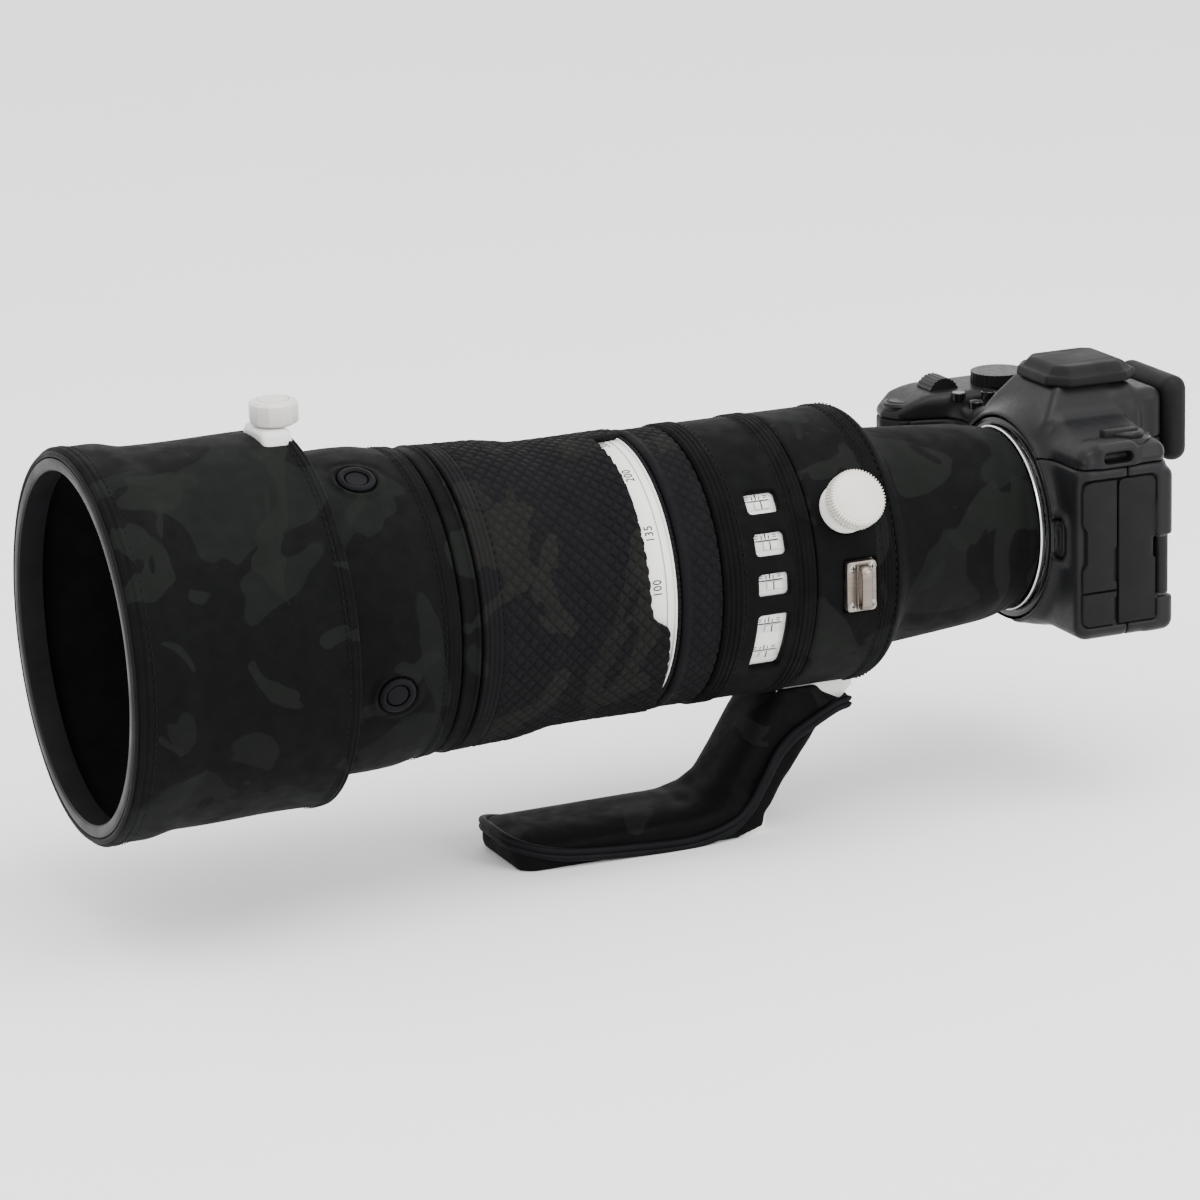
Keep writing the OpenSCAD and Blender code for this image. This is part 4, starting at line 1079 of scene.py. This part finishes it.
def body_field(x, y, z):
    """The camera's outer shape, mm from the middle of the mount."""
    core = box_field(x, y, z, (-66, 1.6, -40), (58.5, 43.4, 33), 5.5)
    shoulder = box_field(x, y, z, (-40, 3.5, 10), (56.8, 42.6, 38.2), 5.0)
    core = join(core, shoulder, 2.5)
    ridge = box_field(x, y, z, (49.4, 30, -40), (58.5, 46.0, 28.5), 4.6)
    core = join(core, ridge, 1.0)
    plan = prism(polygon_field(x, y, [(-80, -12), (-74, -20), (-66, -22.4), (-58, -18), (-53, -4), (-50, 6),
                                      (-50, 40), (-78, 40), (-80, 34)]) - 1.2, z - 0.3, 40.9, 4.5)
    slope = (y + 14) * -sin(SHUTTER_TILT) + (z - 37.6) * cos(SHUTTER_TILT)
    plan = common(plan, slope, 2.5)
    core = join(core, plan, 6)
    radius = np.hypot(x, z)
    boss = np.maximum(radius - 44 - 0.35 * np.clip(y, -4, 20), -2.2 - y)
    boss = np.maximum(boss, y - 20)
    core = join(core, common(boss, radius - 47, 2), 5)
    core = cut(core, np.maximum(radius - 41.9, y - 1.2), 0.5)
    return cut(core, np.maximum(radius - 36.8, y - 4.5), 0.8)


def hump_field(x, y, z):
    """The raised middle of the top with the finder behind it."""
    side = polygon_field(x, z, [(-28, 30), (-26, 38), (-22.5, 47), (-17, 55.8), (16.5, 55.8), (21.5, 49),
        (24.5, 44.5), (27, 30)])
    hump = prism(side, y - 26, 24, 4)
    shoulder = polygon_field(x, z, [(10, 30), (10, 47), (23, 45), (56.6, 37.4), (58.4, 33)])
    slope = prism(shoulder, y - 22.5, 19, 3.2)
    slope = common(slope, (y - 10) * -0.82 + (z - 44) * 0.57, 3)
    hump = join(hump, slope, 3.5)
    facet = (y - 5) * -0.79 + (z - 44) * 0.61
    hump = common(hump, facet, 2)
    finder = box_field(x, y, z, (-21.6, 36, 21), (21.6, 61.9, 51.4), 5)
    back_slope = (y - 45) * 0.3 + (z - 55.5) * 0.95
    return join(common(hump, back_slope, 3), finder, 4)


# How each is joined or cut, its corners, its edge radius and the blend: port panel, screen recess, hinge
# pocket, release boss and release hollow.
BODY_DETAILS = [(cut, (56.4, 2.6, -34.6), (64, 37.6, 26.6), 2.2, 0.5),
    (cut, (-22, 37.4, -36), (48.6, 50, 18.8), 1.5, 0.4), (cut, (46, 37.0, -25.4), (62, 50, 0), 1.0, 0.3),
    (join, (39.6, -1.9, -9.5), (51.4, 6, 11.5), 4.2, 3.0),
    (cut, (41.0, -6, -7.4), (49.8, 3.4, 9.4), 3.2, 0.6)]


def add_camera_body():
    low, high = (-83, -26, -42), (61, 64, 66)

    def carved(x, y, z):
        shape = body_field(x, y, z)
        for how, corner, far_corner, r, k in BODY_DETAILS:
            shape = how(shape, box_field(x, y, z, corner, far_corner, r), k)
        return shape

    def split(x, y, z, keep_front, keep_top):
        shape = carved(x, y, z)
        if keep_top:
            shape = join(shape, np.maximum(hump_field(x, y, z), 31 - z), 3.5)
            shape = np.minimum(shape, hump_field(x, y, z))
            lug = box_field(x, y, z, (46, 9.5, 28), (58.9, 29, 40.6), 3.2)
            shape = join(shape, lug, 2.5)
            shape = cut(shape, box_field(x, y, z, (53.2, 12.8, 32.6), (66, 26, 37.0), 2.0), 0.6)
            return np.maximum(shape, 31.05 - z)
        shape = np.maximum(shape, z - 30.75)
        return np.maximum(shape, (y - 23.85) if keep_front else (24.15 - y))

    def finder(x, y, z):
        return np.maximum(hump_field(x, y, z), np.maximum(44.2 - y, z - 30.75))

    sculpt("front_casing", "camera", lambda x, y, z: np.maximum(split(x, y, z, True, False), -56.0 - x),
        low, high, 0.8, BODY, "body_shell")
    sculpt("grip_skin", "camera", lambda x, y, z: np.maximum(split(x, y, z, True, False), x + 56.3), low,
           (-54, 26, 34), 0.8, GRIP, "grip_rubber")
    sculpt("rear_casing", "camera",
           lambda x, y, z: np.minimum(split(x, y, z, False, False), finder(x, y, z)), (-83, 22, -42), high,
           0.8, BODY, "rear_shell")
    sculpt("top_casing", "camera", lambda x, y, z: split(x, y, z, False, True), (-83, -26, 29), high, 0.7,
        BODY, "top_cover")

    def cup(x, y, z):
        flare = 1.2 * np.clip((y - 64) / 9, 0, 1)
        shape = box_field(x, y, z, (-21.8, 62.2, 19.3), (21.8, 73.4, 54.2), 5.5) - flare * (y < 73.2) * 0.6
        shape = np.maximum(shape, y - 73.4)
        return cut(shape, box_field(x, y, z, (-14, 55, 27), (14, 90, 47), 4.5), 1.2)
    sculpt("eyecup_rubber", "camera", cup, (-25, 60, 16), (25, 75, 57), 0.6, RUBBER, "eyecup")

    def cap(x, y, z):
        taper = 0.75 * np.clip(z - 57, 0, 8)
        outline = polygon_field(x, y,
            [(-12, 12), (12, 12), (20.4, 19), (20.4, 45), (15, 52), (-15, 52), (-20.4, 45), (-20.4, 19)])
        shape = prism(outline + taper, z - 59.6, 3.6, 1.4)
        raised = prism(polygon_field(x, y, rounded(-9, 9, 18, 46, 3)), z - 60, 3.1, 0.5)
        skirt = np.maximum(np.abs(outline + 1.0) - 1.0, np.abs(z - 57.6) - 2.0)
        return join(join(shape, raised, 0.8), skirt, 1.0)
    sculpt("shoe_cap_rubber", "shoe_cap", cap, (-23, 9, 54.8), (23, 55, 64.4), 0.6, RUBBER, "shoe_cover")


def side_place(u, v, h):
    """(back, up, out) on the camera's side face."""
    return tuple(camera_point(h, u, v))


def add_port_doors():
    front = [(4, -19.4), (18.9, -19.4), (18.9, -16.5), (17.2, -15), (17.2, -3.2), (18.9, -1.6),
        (18.9, 25.8), (7.4, 25.8), (4.4, 24.6), (3.5, 21.6), (3.5, 8.6), (5.6, 5.6), (5.6, -7.6),
        (3.5, -10.4), (3.5, -19)]
    lower = [(3.5, -20.2), (18.9, -20.2), (18.9, -22.2), (17.6, -23.4), (17.6, -33.8), (6, -33.8),
        (3.9, -32.4), (3.5, -30)]
    rear = [(19.8, -33.8), (36.6, -33.8), (36.6, -8.6), (34.4, -6.6), (34.4, 12.6), (36.6, 14.8),
        (36.6, 23.4), (35.4, 25.3), (33.2, 25.9), (22, 25.9), (20.3, 25.2), (19.8, 23.4)]
    for name, body, outline in (("front", "door_front", front), ("lower", "door_lower", lower),
                                ("rear", "door_rear", rear)):
        plates("port_flap_" + name, body, [(outline, 56.6, 58.4, 0.45)], side_place, RUBBER,
            "port_door_" + name)


def add_controls():
    point = camera_point(45, 30, 39.9)
    plate = [(0, -3), (10.2, -3), (10.2, 0.25), (9.8, 0.5), (0, 0.5)]
    turned("lever_plate", "camera", point, (0, 0, 1), plate, GLOSS_BLACK, 72)
    lever = [(0, 0.3), (7.5, 0.3), (7.5, 1.7), (6.9, 2.4), (4.6, 2.6), (4.4, 2.3), (0, 2.3)]
    turned("lever_disc", "mode", point, (0, 0, 1), lever, BODY, 72, node="mode_lever")

    def arm(u, v, h):
        return tuple(camera_point(45 + u, 30 + v, 39.9 + h))
    outline = [(-2.2, -10.4), (2.2, -10.4), (3.4, -3), (3.4, 4), (-3.4, 4), (-3.4, -3)]
    plates("lever_arm", "mode", [(outline, 0.7, 3.6, 0.6)], arm, BODY)
    up = Vector((0, -sin(SHUTTER_TILT), cos(SHUTTER_TILT)))
    collar = [(5.7, -3), (5.7, 0.6), (6.2, 1), (7.6, 0.7), (8.6, -0.4), (8.6, -3)]
    turned("shutter_collar", "camera", camera_point(-65, -14, 36.4), up, collar, BODY, 72)
    button = [(0, -3), (5.3, -3), (5.3, 0.9), (4.9, 1.3), (3, 1.15), (0, 1)]
    turned("shutter_cap", "shutter", camera_point(-65, -14, 36.4), up, button, BODY, 72,
           node="shutter_button")

    def release(u, v, h):
        return tuple(camera_point(45.4 + u, 1.2 - h, 1 + v))
    plates("release_cap", "mount_release", [(rounded(-3.7, 3.7, -7.6, 7.6, 3.0), -3, 1.9, 0.7),
                                            (rounded(-2.4, 2.4, -5.4, 5.4, 2.2), 1.8, 2.4, 0.5)],
           release, BODY, "lens_release")
    for k, (x, y) in enumerate(((-48, 4), (-40, 8), (-44, 16))):
        cap = [(0, -2), (3.1, -2), (3.1, 0.8), (2.7, 1.15), (0, 1)]
        turned("top_button_" + str(k), "camera", camera_point(x, y, 41.0 if x < -42 else 38.4), (0, 0, 1),
            cap, GLOSS_BLACK, 48)


def add_floor():
    mesh = bpy.data.meshes.new("floor")
    mesh.from_pydata([(-6, -6, 0), (6, -6, 0), (6, 6, 0), (-6, 6, 0)], [], [(0, 1, 2, 3)])
    mesh.materials.append(floor_paper())
    floor = bpy.data.objects.new("floor", mesh)
    bpy.context.scene.collection.objects.link(floor)


def add_materials_of_cad():
    for part in frame["record"]["subparts"]:
        node = frame["nodes"][part["node"]]
        node.data.materials.clear()
        node.data.materials.append(SLOT_MATERIALS[part["material_slot"]])


add_materials_of_cad()
add_camera()
add_studio()
add_floor()
add_sleeves()
add_hood()
add_collar_knob()
add_lens_rings()
add_scale_numbers()
add_switches()
add_function_buttons()
add_strap_brackets()
add_foot()
add_camera_body()
add_port_doors()
add_controls()
